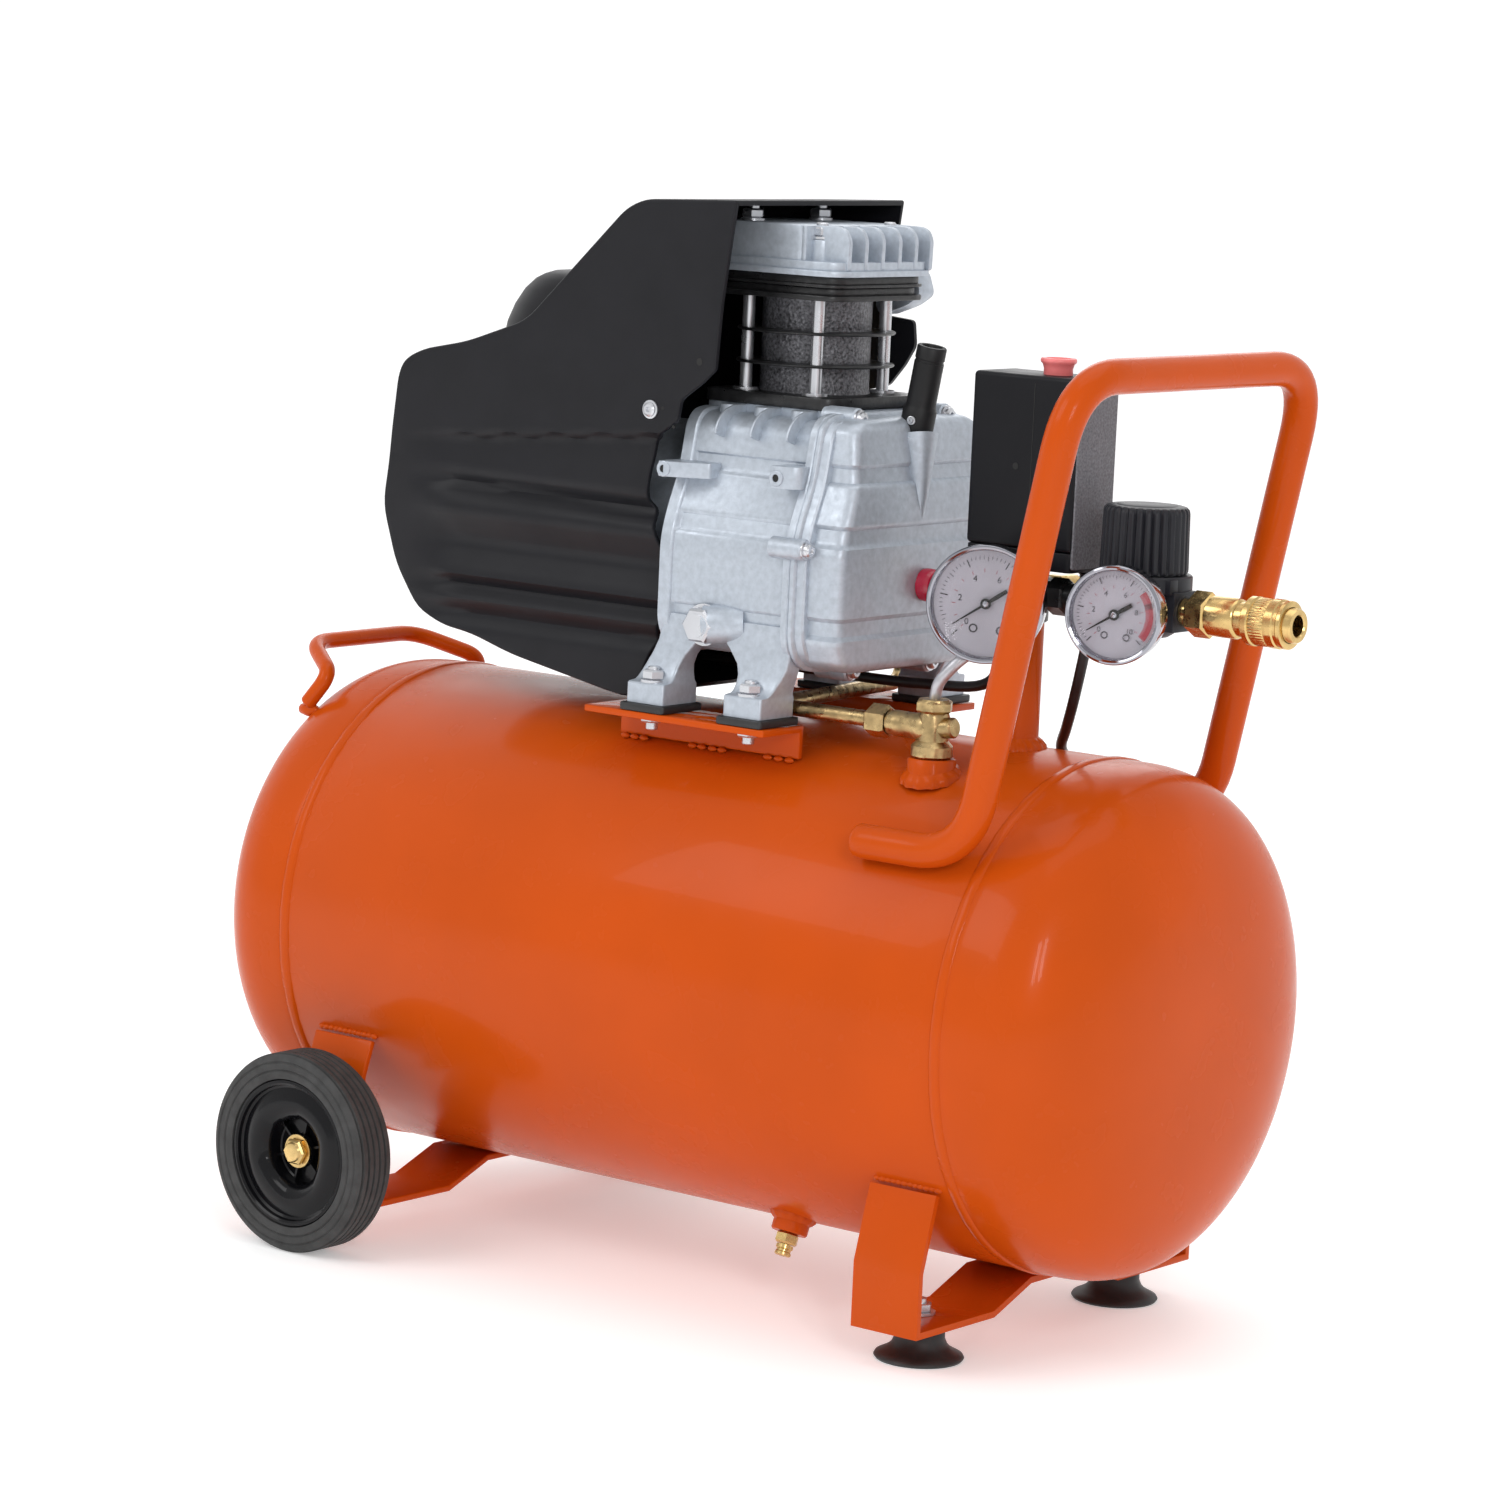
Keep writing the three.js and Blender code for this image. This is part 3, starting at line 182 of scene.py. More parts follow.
def make_materials():
    made = {
        "tank_paint": Shader(
            "orange_enamel", (0.53, 0.07, 0.0035), 0.26,
            Specular_IOR_Level=0.08, Coat_Weight=0.09, Coat_Roughness=0.04,
        )
        .mottle(9, 0.05)
        .gloss(30, 0.2, 0.3)
        .grain(260, 0.05, 0.0004),
        "cast_aluminium": Shader("cast_aluminium", (0.45, 0.495, 0.555), 0.4, 0.45)
        .mottle(260, 0.1, 6)
        .gloss(220, 0.33, 0.5)
        .grain(900, 0.22, 0.0003, 4),
        "black_cast_iron": Shader("black_iron", (0.016, 0.016, 0.017), 0.34, 0.2)
        .mottle(200, 0.3)
        .gloss(160, 0.26, 0.45)
        .grain(420, 0.3, 0.0005),
        "rough_iron": Shader("rough_black_iron", (0.12, 0.12, 0.132), 0.36, 0.35)
        .mottle(600, 0.8)
        .grain(430, 0.9, 0.0012, 3),
        "plated_steel": Shader("bright_zinc", (0.6, 0.61, 0.64), 0.28, 0.85)
        .mottle(60, 0.04)
        .gloss(40, 0.24, 0.32),
        "motor_steel": Shader("motor_steel", (0.3, 0.3, 0.31), 0.4, 0.9).mottle(90, 0.15).gloss(90, 0.3, 0.5),
        "zinc_bolt": Shader("yellow_zinc", (0.66, 0.47, 0.2), 0.28, 1.0)
        .mottle(110, 0.2)
        .gloss(140, 0.2, 0.4),
        "brass": Shader("brass", (0.66, 0.46, 0.19), 0.22, 1.0)
        .mottle(150, 0.1)
        .gloss(210, 0.14, 0.34)
        .grain(300, 0.1, 0.0003),
        "worn_brass": Shader("cast_brass", (0.46, 0.33, 0.16), 0.3, 1.0)
        .mottle(170, 0.28)
        .gloss(190, 0.2, 0.45)
        .grain(170, 0.5, 0.0009),
        "grey_steel": Shader("grey_steel", (0.5, 0.5, 0.53), 0.36, 0.7)
        .mottle(200, 0.1)
        .gloss(180, 0.3, 0.42),
        "gauge_chrome": Shader("chrome", (0.36, 0.36, 0.4), 0.14, 1.0).gloss(60, 0.06, 0.14),
        "shroud_plastic": Shader("shroud_plastic", (0.009, 0.009, 0.0115), 0.4, Specular_IOR_Level=0.22)
        .mottle(35, 0.1)
        .gloss(25, 0.38, 0.5)
        .grain(1300, 0.14, 0.0002),
        "switch_plastic": Shader("switch_plastic", (0.005, 0.005, 0.007), 0.4, Specular_IOR_Level=0.2)
        .gloss(40, 0.36, 0.48)
        .grain(1400, 0.16, 0.0002),
        "grey_grain": Shader("grained_grey_plastic", (0.155, 0.155, 0.17), 0.6, Specular_IOR_Level=0.25)
        .mottle(700, 0.35, 5)
        .grain(900, 0.5, 0.0003),
        "regulator_plastic": Shader(
            "regulator_plastic", (0.012, 0.0125, 0.017), 0.42, Specular_IOR_Level=0.3,
        )
        .mottle(60, 0.12)
        .grain(1200, 0.12, 0.0002),
        "knob_red": Shader("red_plastic", (0.82, 0.2, 0.2), 0.35, Subsurface_Weight=0.05)
        .mottle(90, 0.08)
        .gloss(60, 0.3, 0.42),
        "sight_glass_red": Shader("red_sight_glass", (0.5, 0.01, 0.045), 0.2, Coat_Weight=0.3)
        .mottle(60, 0.12),
        "wheel_plastic": Shader(
            "gloss_black_plastic", (0.004, 0.004, 0.005), 0.14, Specular_IOR_Level=0.2, Coat_Weight=0.06,
        )
        .gloss(22, 0.12, 0.24),
        "tyre_rubber": Shader("tyre_rubber", (0.05, 0.05, 0.05), 0.72, Specular_IOR_Level=0.25)
        .mottle(120, 0.2)
        .gloss(50, 0.6, 0.8)
        .grain(900, 0.3, 0.0003),
        "black_rubber": Shader("black_rubber", (0.009, 0.009, 0.01), 0.5, Specular_IOR_Level=0.3)
        .mottle(90, 0.2)
        .gloss(60, 0.4, 0.6),
        "foot_rubber": Shader("foot_rubber", (0.017, 0.017, 0.018), 0.5).mottle(90, 0.25).gloss(45, 0.4, 0.6),
        "cable_black": Shader("cable_sheath", (0.012, 0.012, 0.013), 0.4)
        .mottle(130, 0.2)
        .gloss(80, 0.34, 0.5),
        "needle_black": Shader("needle_paint", (0.008, 0.008, 0.008), 0.35).gloss(300, 0.3, 0.45),
        "dial_white": Shader("dial_paint", (0.4, 0.39, 0.445), 0.45).mottle(40, 0.04).gloss(60, 0.4, 0.5),
        "dial_ink": Shader("dial_ink", (0.03, 0.03, 0.035), 0.5).mottle(400, 0.2),
        "dial_red": Shader("dial_red_ink", (0.35, 0.03, 0.05), 0.5).mottle(400, 0.15),
        "dark_slot": Shader("slot_shadow", (0.006, 0.006, 0.006), 0.7).mottle(200, 0.2),
        "lens": Shader("gauge_lens", (1, 1, 1), 0.02, Transmission_Weight=1.0, IOR=1.45),
    }
    made["lens"].main.inputs["Alpha"].default_value = 0.28
    return {name: shader.material for name, shader in made.items()}


MATERIALS = make_materials()


# ---- Mesh building ----
def smoothstep(value, low, high):
    share = min(1, max(0, (value - low) / (high - low)))
    return share * share * (3 - 2 * share)


def spin_to(direction):
    return Z.rotation_difference(direction.normalized()).to_matrix().to_4x4()


def rounded(outline, radius, steps=4):
    """A closed outline of (u, v) points with rounded corners; radius may be a list, one for each corner."""
    result = []
    count = len(outline)
    for i, corner in enumerate(outline):
        here = Vector(corner)
        before = Vector(outline[i - 1]) - here
        after = Vector(outline[(i + 1) % count]) - here
        wanted = radius[i] if isinstance(radius, list) else radius
        reach = min(wanted, before.length * 0.48, after.length * 0.48)
        start, end = here + before.normalized() * reach, here + after.normalized() * reach
        for k in range(steps + 1):
            t = k / steps
            result.append((1 - t) ** 2 * start + 2 * t * (1 - t) * here + t * t * end)
    return result


def rectangle(u0, u1, v0, v1):
    return [(u0, v0), (u1, v0), (u1, v1), (u0, v1)]


def square(half):
    """A square about the cylinder's axis."""
    return rectangle(CYL_X - half, CYL_X + half, -half, half)


def along_path(points, bend=0.0, step=6.0):
    """Points along a path: straight runs with rounded corners, or a smooth curve if bend is 0."""
    corners = [Vector(p) for p in points]
    if bend:
        dense = [corners[0]]
        for i in range(1, len(corners) - 1):
            back, ahead = corners[i - 1] - corners[i], corners[i + 1] - corners[i]
            reach = min(bend, back.length * 0.49, ahead.length * 0.49)
            start, end = corners[i] + back.normalized() * reach, corners[i] + ahead.normalized() * reach
            for k in range(13):
                t = k / 12
                dense.append((1 - t) ** 2 * start + 2 * t * (1 - t) * corners[i] + t * t * end)
        dense.append(corners[-1])
    else:
        dense = smooth_curve(corners)
    result = [dense[0]]
    for a, b in zip(dense, dense[1:]):
        count = max(1, round((b - a).length / step))
        result += [a.lerp(b, (k + 1) / count) for k in range(count)]
    return result


def smooth_curve(points, steps=8):
    """A centripetal Catmull-Rom curve through the points, as three.js draws it."""
    result = [points[0]]
    first, last = 2 * points[0] - points[1], 2 * points[-1] - points[-2]
    padded = [first, *points, last]
    for i in range(1, len(padded) - 2):
        p0, p1, p2, p3 = padded[i - 1 : i + 3]
        d0, d1, d2 = ((b - a).length ** 0.5 for a, b in ((p0, p1), (p1, p2), (p2, p3)))
        t1 = ((p1 - p0) / d0 - (p2 - p0) / (d0 + d1) + (p2 - p1) / d1) * d1
        t2 = ((p2 - p1) / d1 - (p3 - p1) / (d1 + d2) + (p3 - p2) / d2) * d1
        for k in range(1, steps + 1):
            t = k / steps
            square, cube = t * t, t * t * t
            result.append(
                (2 * cube - 3 * square + 1) * p1
                + (cube - 2 * square + t) * t1
                + (3 * square - 2 * cube) * p2
                + (cube - square) * t2
            )
    return result


class Build:
    """Collects shapes, in millimetres from the tank's middle, into one piece."""

    def __init__(self):
        self.bm = bmesh.new()

    def add(self, points, faces, matrix=None):
        verts = [self.bm.verts.new(matrix @ Vector(p) if matrix else Vector(p)) for p in points]
        for face in faces:
            try:
                self.bm.faces.new([verts[i] for i in face])
            except ValueError:
                pass
        return verts

    def rings(self, loops, closed=False, matrix=None):
        """Skins a list of loops of equal length; open ends are capped."""
        count = len(loops[0])
        points = [p for loop in loops for p in loop]
        faces = []
        spans = len(loops) if closed else len(loops) - 1
        for i in range(spans):
            a, b = i * count, ((i + 1) % len(loops)) * count
            faces += [(a + k, a + (k + 1) % count, b + (k + 1) % count, b + k) for k in range(count)]
        if not closed:
            faces.append(tuple(reversed(range(count))))
            faces.append(tuple(range((len(loops) - 1) * count, len(loops) * count)))
        self.add(points, faces, matrix)
        return self

    def turned(self, profile, direction=Z, place=(0, 0, 0), sides=48, wobble=None):
        """A lathe piece of (radius, distance along) points; wobble(angle, i) adds to point i's radius."""
        loops = []
        for i, (radius, along) in enumerate(profile):
            loop = []
            for k in range(sides):
                angle = 2 * math.pi * k / sides
                r = max(radius, 0.01) + (wobble(angle, i) if wobble else 0)
                loop.append(Vector((r * math.cos(angle), r * math.sin(angle), along)))
            loops.append(loop)
        closed = profile[0] == profile[-1]
        if closed:
            loops.pop()
        matrix = Matrix.Translation(Vector(place)) @ spin_to(direction)
        return self.rings(loops, closed, matrix)

    def disc(self, radius, low, high, direction=Z, place=(0, 0, 0), sides=32):
        return self.turned([(0, low), (radius, low), (radius, high), (0, high)], direction, place, sides)

    def collar(self, inner, outer, low, high, direction=Z, place=(0, 0, 0), sides=32):
        profile = [(inner, low), (outer, low), (outer, high), (inner, high), (inner, low)]
        return self.turned(profile, direction, place, sides)

    def rod(self, radius, start, end, sides=32, chamfer=0.0):
        start, end = Vector(start), Vector(end)
        length = (end - start).length
        c = min(chamfer, length * 0.4)
        profile = [(radius, 0), (radius, length)]
        if c:
            profile = [(radius - c, 0), (radius, c), (radius, length - c), (radius - c, length)]
        return self.turned(profile, end - start, start, sides)

    def hexagon(self, across, start, end, chamfer=0.6):
        """A hexagonal nut or head; across is its size over the flats."""
        radius = across / math.sqrt(3)
        return self.rod(radius, start, end, 6, chamfer)

    def box(self, x0, x1, y0, y1, z0, z1, matrix=None):
        points = [(x, y, z) for x in (x0, x1) for y in (y0, y1) for z in (z0, z1)]
        faces = [(0, 1, 3, 2), (4, 6, 7, 5), (0, 4, 5, 1), (2, 3, 7, 6), (0, 2, 6, 4), (1, 5, 7, 3)]
        self.add(points, faces, matrix)
        return self

    def sweep(self, path, radius, sides=24, round_ends=False):
        """A tube along points; radius may be a function of the share of the way along."""
        points = [Vector(p) for p in path]
        size = radius if callable(radius) else (lambda share: radius)
        tangent = (points[1] - points[0]).normalized()
        normal = tangent.orthogonal().normalized()
        loops = []
        for i, point in enumerate(points):
            ahead = points[min(i + 1, len(points) - 1)] - points[max(i - 1, 0)]
            new = ahead.normalized()
            normal = tangent.rotation_difference(new) @ normal
            tangent = new
            side = tangent.cross(normal)
            r = size(i / (len(points) - 1))
            turns = (2 * math.pi * k / sides for k in range(sides))
            loops.append([point + r * (math.cos(a) * normal + math.sin(a) * side) for a in turns])
        if round_ends:
            for end, inner in ((0, 1), (-1, -2)):
                centre, direction = points[end], (points[inner] - points[end]).normalized()
                r = size(0 if end == 0 else 1)
                caps = []
                for k in (1, 2, 3, 4):
                    a = math.pi / 2 * k / 4
                    shrink, push = max(math.cos(a), 0.05), math.sin(a) * 0.5
                    caps.append([centre - direction * r * push + (p - centre) * shrink for p in loops[end]])
                loops = list(reversed(caps)) + loops if end == 0 else loops + caps
        return self.rings(loops)

    def prism(self, outline, axis, low, high):
        """An outline drawn across an axis, from low to high. Outline points are (x, y), (x, z) or (y, z)."""
        place = "xyz".index(axis)
        loops = [[Vector((*p[:place], w, *p[place:])) for p in outline] for w in (low, high)]
        return self.rings(loops)

    def cad(self, node):
        """Takes a CAD node's mesh, in millimetres, with its shared corners merged."""
        part = bmesh.new()
        part.from_mesh(frame["nodes"][node].data)
        part.transform(Matrix.Scale(1 / MM, 4) @ Matrix.Translation((-MIDDLE_X, 0, 0)))
        bmesh.ops.remove_doubles(part, verts=part.verts, dist=0.01)
        bmesh.ops.dissolve_limit(part, angle_limit=math.radians(0.6), verts=part.verts, edges=part.edges)
        mesh = bpy.data.meshes.new("part")
        part.to_mesh(mesh)
        part.free()
        self.bm.from_mesh(mesh)
        bpy.data.meshes.remove(mesh)
        return self

    def to_object(self, name):
        mesh = bpy.data.meshes.new(name)
        self.bm.to_mesh(mesh)
        self.bm.free()
        return link(name, mesh)

    def done(self, name, material, body="base", replaces="", bevel=0.0, segments=2, angle=35, sharp=35):
        """Turns the shape into a piece that rides on a body, and may replace a CAD node."""
        bmesh.ops.remove_doubles(self.bm, verts=self.bm.verts, dist=0.005)
        bmesh.ops.recalc_face_normals(self.bm, faces=self.bm.faces)
        self.bm.transform(Matrix.Translation((MIDDLE_X, 0, 0)) @ Matrix.Scale(MM, 4))
        obj = self.to_object(name)
        obj.data.materials.append(MATERIALS[material])
        if bevel:
            modifier = obj.modifiers.new("bevel", "BEVEL")
            modifier.width = bevel * MM
            modifier.segments = segments
            modifier.limit_method = "ANGLE"
            modifier.angle_limit = math.radians(angle)
            baked = evaluated_mesh(obj)
            obj.modifiers.clear()
            obj.data = baked
        for polygon in obj.data.polygons:
            polygon.use_smooth = True
        obj.data.set_sharp_from_angle(angle=math.radians(sharp))
        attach(obj, body)
        if replaces:
            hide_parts(replaces)
        return obj


# ---- Tank ----
def dome_point(share, radius, depth, base):
    """A point of the dished head's profile; share runs from 0 at the skirt to 1 on the axis."""
    angle = share * math.pi / 2
    power = 2 / TANK["square"]
    across = radius * math.cos(angle) ** power if share < 1 else 0.0
    return across, base + depth * math.sin(angle) ** power


def seam_ripple(angle, i):
    return 0.09 * math.sin(61 * angle) + 0.06 * math.sin(23 * angle + i)


def build_tank():
    r, seam, skirt = TANK["radius"], TANK["seam"], TANK["skirt"]
    centre = (0, 0, TANK["z"])
    profile = [
        (r - 3, -seam + 0.3), (r - 0.4, -seam + 0.3), (r, -seam + 1.2), (r, seam - 1.2),
        (r - 0.4, seam - 0.3), (r - 3, seam - 0.3), (r - 3, -seam + 0.3),
    ]
    shell = Build().turned(profile, X, centre, 160)
    shell.done("tank_shell_skin", "tank_paint", replaces="tank_shell", sharp=50)
    for sign, name in ((1, "front"), (-1, "rear")):
        profile = [(r - 3, seam + 0.2), (r - 0.4, seam + 0.2), (r, seam + 1.0), (r, seam + skirt)]
        profile += [dome_point(k / 40, r, TANK["dome"], seam + skirt) for k in range(1, 41)]
        profile += [dome_point(k / 14, r - 3, TANK["dome"] - 3, seam + skirt) for k in range(14, -1, -1)]
        head = Build().turned(profile + [profile[0]], X * sign, centre, 160)
        head.done(f"tank_head_{name}_skin", "tank_paint", replaces=f"tank_head_{name}", sharp=50)
        ridge = [(-1.5, -4.6), (0.35, -3.6), (0.95, -1.4), (1.0, 0.8), (0.4, 3.2), (-1.5, 4.4), (-1.5, -4.6)]
        bead = [(r + out, seam + along) for out, along in ridge]
        weld_run = Build().turned(bead, X * sign, centre, 200, seam_ripple)
        weld_run.done(f"seam_weld_{name}", "tank_paint", sharp=80)


def weld(build, place, direction, radius, size, turns=13):
    """A fillet weld round a pipe: a ring with the ripples of its runs."""
    shape = [(1.25, -0.9), (1.1, -0.1), (0.45, 0.62)]
    profile = [(radius - 1, -size)] + [(radius + size * out, size * along) for out, along in shape]
    profile += [(radius - 0.4, size * 1.1), (radius - 1, size), (radius - 1, -size)]

    def ripple(angle, i):
        return 0.16 * size * math.sin(turns * angle + i * 0.6) if i in (1, 2, 3) else 0

    build.turned(profile, direction, place, 72, ripple)


def weld_drop(build, place, half, shoulder, radius, sides=12):
    """A drop of weld along X: half its length, its shoulder's (radius, distance), and its middle radius."""
    near, along = shoulder
    build.turned([(0, -half), (near, -along), (radius, 0), (near, along), (0, half)], X, place, sides)


def build_ports():
    """The bungs welded into the tank, and the riser with its weld."""
    ports = Build()
    ports.turned([(5, 322), (14, 322), (14, 337), (13, 338), (5, 338), (5, 322)], Z, (*INLET, 0), 48)
    weld(ports, (*INLET, 329), Vector((0, -0.25, 1)), 14, 3.4)
    bung = [(3.6, 147), (11, 147), (11, 159), (10.2, 160), (3.6, 160), (3.6, 147)]
    ports.turned(bung, DRAIN_OUT, DRAIN_BASE, 48)
    weld(ports, DRAIN_BASE + DRAIN_OUT * 151, DRAIN_OUT, 11, 2.6)
    ports.done("port_bungs", "tank_paint", sharp=45)
    riser = Build()
    riser.turned([(9, 341), (13, 341), (13, 413.4), (12.4, 414), (9, 414), (9, 341)], Z, (RISER_X, 0, 0), 64)
    weld(riser, (RISER_X, 0, 343), Z, 13, 4.2, 17)
    riser.done("riser_skin", "tank_paint", replaces="riser_pipe", sharp=45)


def build_handles():
    half = 122
    reach = TANK["radius"] + 10.6
    foot_z = TANK["z"] + math.sqrt(reach**2 - half**2)
    side = [(168, half, foot_z), (241, half, foot_z), (296, half, 566)]
    near = [(x, -y, z) for x, y, z in side]
    front = Build().sweep(along_path(near + side[::-1], 42, 5), 10, 32, round_ends=True)
    front.done("front_handle_tube", "tank_paint", replaces="front_handle", sharp=60)
    loop = [(-298, 77, 316), (-285, 72, 335), (-323, 48, 349)]
    near_loop = [(x, -y, z) for x, y, z in loop]
    rear = Build().sweep(along_path(near_loop + loop[::-1], 16, 3), 5, 24, round_ends=True)
    rear.done("rear_handle_rod", "tank_paint", replaces="rear_handle", sharp=60)
    fillets = Build()
    for sign in (-1, 1):
        for k in range(12):
            spot = Vector((171 + k * 5.6, sign * 113.8, 298 + 0.3 * math.sin(k * 2.1)))
            weld_drop(fillets, spot, 3.4, (1.7, 2), 2.2)
        weld_drop(fillets, (-299, sign * 75, 311), 9, (3.2, 6), 4.4, 16)
    fillets.done("handle_welds", "tank_paint", sharp=80)


build_tank()
build_ports()
build_handles()


# ---- Straps, rails, feet ----
def build_straps():
    for node, plate in (("front_foot_strap", "foot_strap_plate"), ("wheel_strap", "wheel_strap_plate")):
        Build().cad(node).done(plate, "tank_paint", replaces=node, bevel=1.4, segments=3)
    for side in ("near", "far"):
        rail = f"pump_rail_{side}"
        Build().cad(rail).done(f"{rail}_plate", "tank_paint", replaces=rail, bevel=1.0)
    welds = Build()
    for x0, x1, y, z in ((190, 236, 123.2, 106), (-224, -178, 137.4, 130)):
        for sign in (-1, 1):
            for k in range(12):
                x = x0 + (x1 - x0) * (k + 0.5) / 12
                spot = (x, sign * (y + 0.2 * math.sin(k * 1.7)), z - 0.5)
                weld_drop(welds, spot, 2.8, (1.5, 1.8), 1.9)
    for sign in (-1, 1):
        for x in (-47, -40, -33, 4, 11, 19, 26, 60, 68, 76):
            weld_drop(welds, (x, sign * 71, 325.2), 3.6, (1.3, 2.2), 1.8)
    welds.done("strap_welds", "tank_paint", sharp=80)


def build_feet():
    for sign, side in ((-1, "near"), (1, "far")):
        x, y = 210, sign * 100
        profile = [
            (0, 1.2), (20, 1.2), (23, 0), (25, 0.2), (26, 1.6), (25.2, 3), (22, 4.6), (18.4, 6.6), (16, 9),
            (15.2, 11), (14.5, 12.5), (14.5, 20.6), (13.6, 21.6), (0, 21.6),
        ]
        foot = Build().turned(profile, Z, (x, y, 0), 64)
        foot.done(f"rubber_foot_{side}_cup", "foot_rubber", replaces=f"rubber_foot_{side}", sharp=50)
        bolt = Build()
        bolt.turned([(0, 26.2), (8.5, 26.2), (8.5, 27.8), (4.6, 27.8), (0, 27.8)], Z, (x, y, 0), 32)
        bolt.hexagon(11, (x, y, 27.8), (x, y, 32.6))
        bolt.rod(3, (x, y, 32), (x, y, 35.5), 20, 0.5)
        bolt.done(f"foot_nut_{side}", "plated_steel", sharp=30)


build_straps()
build_feet()


# ---- Wheels ----
def scallop(angle, i):
    """Three hollows let into the hub's raised ring, which is made of six points of its profile."""
    if not 13 <= i <= 18:
        return 0
    share = (0.4, 0.8, 1, 1, 0.8, 0.5)[i - 13]
    return -1.6 * max(0, math.cos(3 * angle + 0.5)) ** 0.7 * share


def build_wheels():
    for sign, side in ((-1, "near"), (1, "far")):
        body, out, middle = f"{side}_wheel", Y * sign, Vector((-201, sign * 175, 61))
        axis = Vector((middle.x, 0, middle.z))
        tread = [(45.3, -14), (49, -15), (55, -15), (58.4, -14.2), (60.2, -12.6)]
        for k in range(5):
            mid = -9.6 + k * 4.8
            tread += [(61, mid - 1.7), (61, mid + 1.3), (59.2, mid + 1.75), (59.2, mid + 2.7)]
        tread = [p for p in tread if p[1] < 12.2]
        tread += [
            (60.2, 12.6), (58.4, 14.2), (56.4, 15), (55.6, 14.3), (54.6, 15), (51.4, 15), (50.6, 14.2),
            (49.6, 15), (48, 15), (45.3, 14), (45.3, -14),
        ]
        tyre = Build().turned(tread, out, middle, 128)
        tyre.done(f"tyre_{side}_rubber", "tyre_rubber", body, replaces=f"tyre_{side}", sharp=28)
        hub = Build()
        profile = [
            (6.3, -14), (14, -14), (17, -6), (39, -6), (42, -13), (45, -13), (45, 12.2), (44.4, 13.2),
            (42.8, 13.4), (41.6, 12.6),
        ]
        profile += [
            (41, 10.4), (39.6, 9.6), (37, 10.2), (34, 11.4), (30.5, 12), (27, 11.6), (24, 10.2), (21.4, 7.4),
            (20.4, 4), (20, -2), (19, -2.6), (6.3, -2.6), (6.3, -14),
        ]
        hub.turned(profile, out, middle, 144, scallop)
        spin = spin_to(out)
        for k in range(6):
            rotate = Matrix.Translation(middle) @ spin @ Matrix.Rotation(math.pi * k / 3 + 0.3, 4, "Z")
            hub.box(9, 20.4, -0.7, 0.7, -3, 1.6, rotate)
        hub.turned([(6.3, 0), (10.6, 0), (10, 3), (6.3, 3), (6.3, 0)], out, middle, 40)
        hub.done(f"wheel_hub_{side}_disc", "wheel_plastic", body, replaces=f"wheel_hub_{side}", sharp=30)
        bolt = Build()
        bolt.rod(6, axis + out * 132.6, middle + out * 2, 32, 0.8)
        bolt.hexagon(17, axis + out * 137, axis + out * 144.4, 1)
        bolt.disc(10, 149.4, 159.6, out, axis, 40)
        bolt.disc(10.2, 3.2, 4.6, out, middle, 40)
        bolt.hexagon(14.6, middle + out * 4.5, middle + out * 8.8, 1.2)
        bolt.turned([(0, 8.8), (6.2, 8.8), (5.4, 10), (3.2, 10.6), (0, 10.4)], out, middle, 32)
        bolt.done(f"axle_bolt_{side}_zinc", "zinc_bolt", replaces=f"axle_bolt_{side}", sharp=30)


build_wheels()


# ---- Pump ----
CASE_HALF = [
    (58, 377), (74, 379), (84, 385), (90, 397), (90, 448), (85, 465), (75, 488), (71, 508), (69, 518),
    (63, 525), (54, 527),
]
CASE_OUTLINE = CASE_HALF + [(-y, z) for y, z in reversed(CASE_HALF)]
CASE_MID = 450
GROOVES = ((400, 411), (453, 464), (488, 498.5))


def case_half_width(z):
    """Half the case's width at a height."""
    for (y0, z0), (y1, z1) in zip(CASE_HALF, CASE_HALF[1:]):
        if z0 <= z <= z1:
            return y0 + (y1 - y0) * (z - z0) / max(z1 - z0, 1e-6)
    return CASE_HALF[-1][0]


def groove_depth(z):
    """How far a side is let in at a height, between the edges of the three cast bands."""
    shares = []
    for low, high in GROOVES:
        shares.append(smoothstep(z, low - 0.7, low + 1.1) * (1 - smoothstep(z, high - 1.1, high + 0.7)))
    return 1.7 * max(shares)


def cover_lean(x, z):
    """How far the cover's front is tilted back towards its top."""
    return 10 * smoothstep(z, 462, 535) * smoothstep(x, 94, 115)


def case_loop(x, share, radius=9, groove=0.0):
    """The case's rounded outline at a place along X, made smaller about its middle, with its bands let in."""
    outline = rounded(CASE_OUTLINE, radius, 4)
    loop = []
    for i, corner in enumerate(outline):
        after = outline[(i + 1) % len(outline)]
        count = max(1, round((after - corner).length / 1.3))
        for k in range(count):
            y, z = corner.lerp(after, k / count)
            y, z = y * share, CASE_MID + (z - CASE_MID) * share
            if abs(y) > 50:
                y -= math.copysign(groove * groove_depth(z), y)
            loop.append(Vector((x - cover_lean(x, z), y, z)))
    return loop


def screw(build, place, direction, head=4.6, length=5.0):
    """A flanged screw head with a hollow in its top."""
    profile = [
        (0, 0), (head * 1.25, 0), (head * 1.25, 1.0), (head, 1.2), (head * 0.96, length - 1.0),
        (head * 0.7, length), (head * 0.36, length), (head * 0.22, length - 1.2), (0, length - 1.4),
    ]
    build.turned(profile, direction, place, 28)


def leg(build, sections, sign):
    """A leg drawn as slices: each is (z, x0, x1, inner y, outer y)."""
    loops = []
    for z, x0, x1, inner, outer in sections:
        corners = rectangle(x0, x1, sign * outer, sign * inner)
        loops.append([Vector((x, y, z)) for x, y in rounded(corners, 2.4)])
    build.rings(loops)


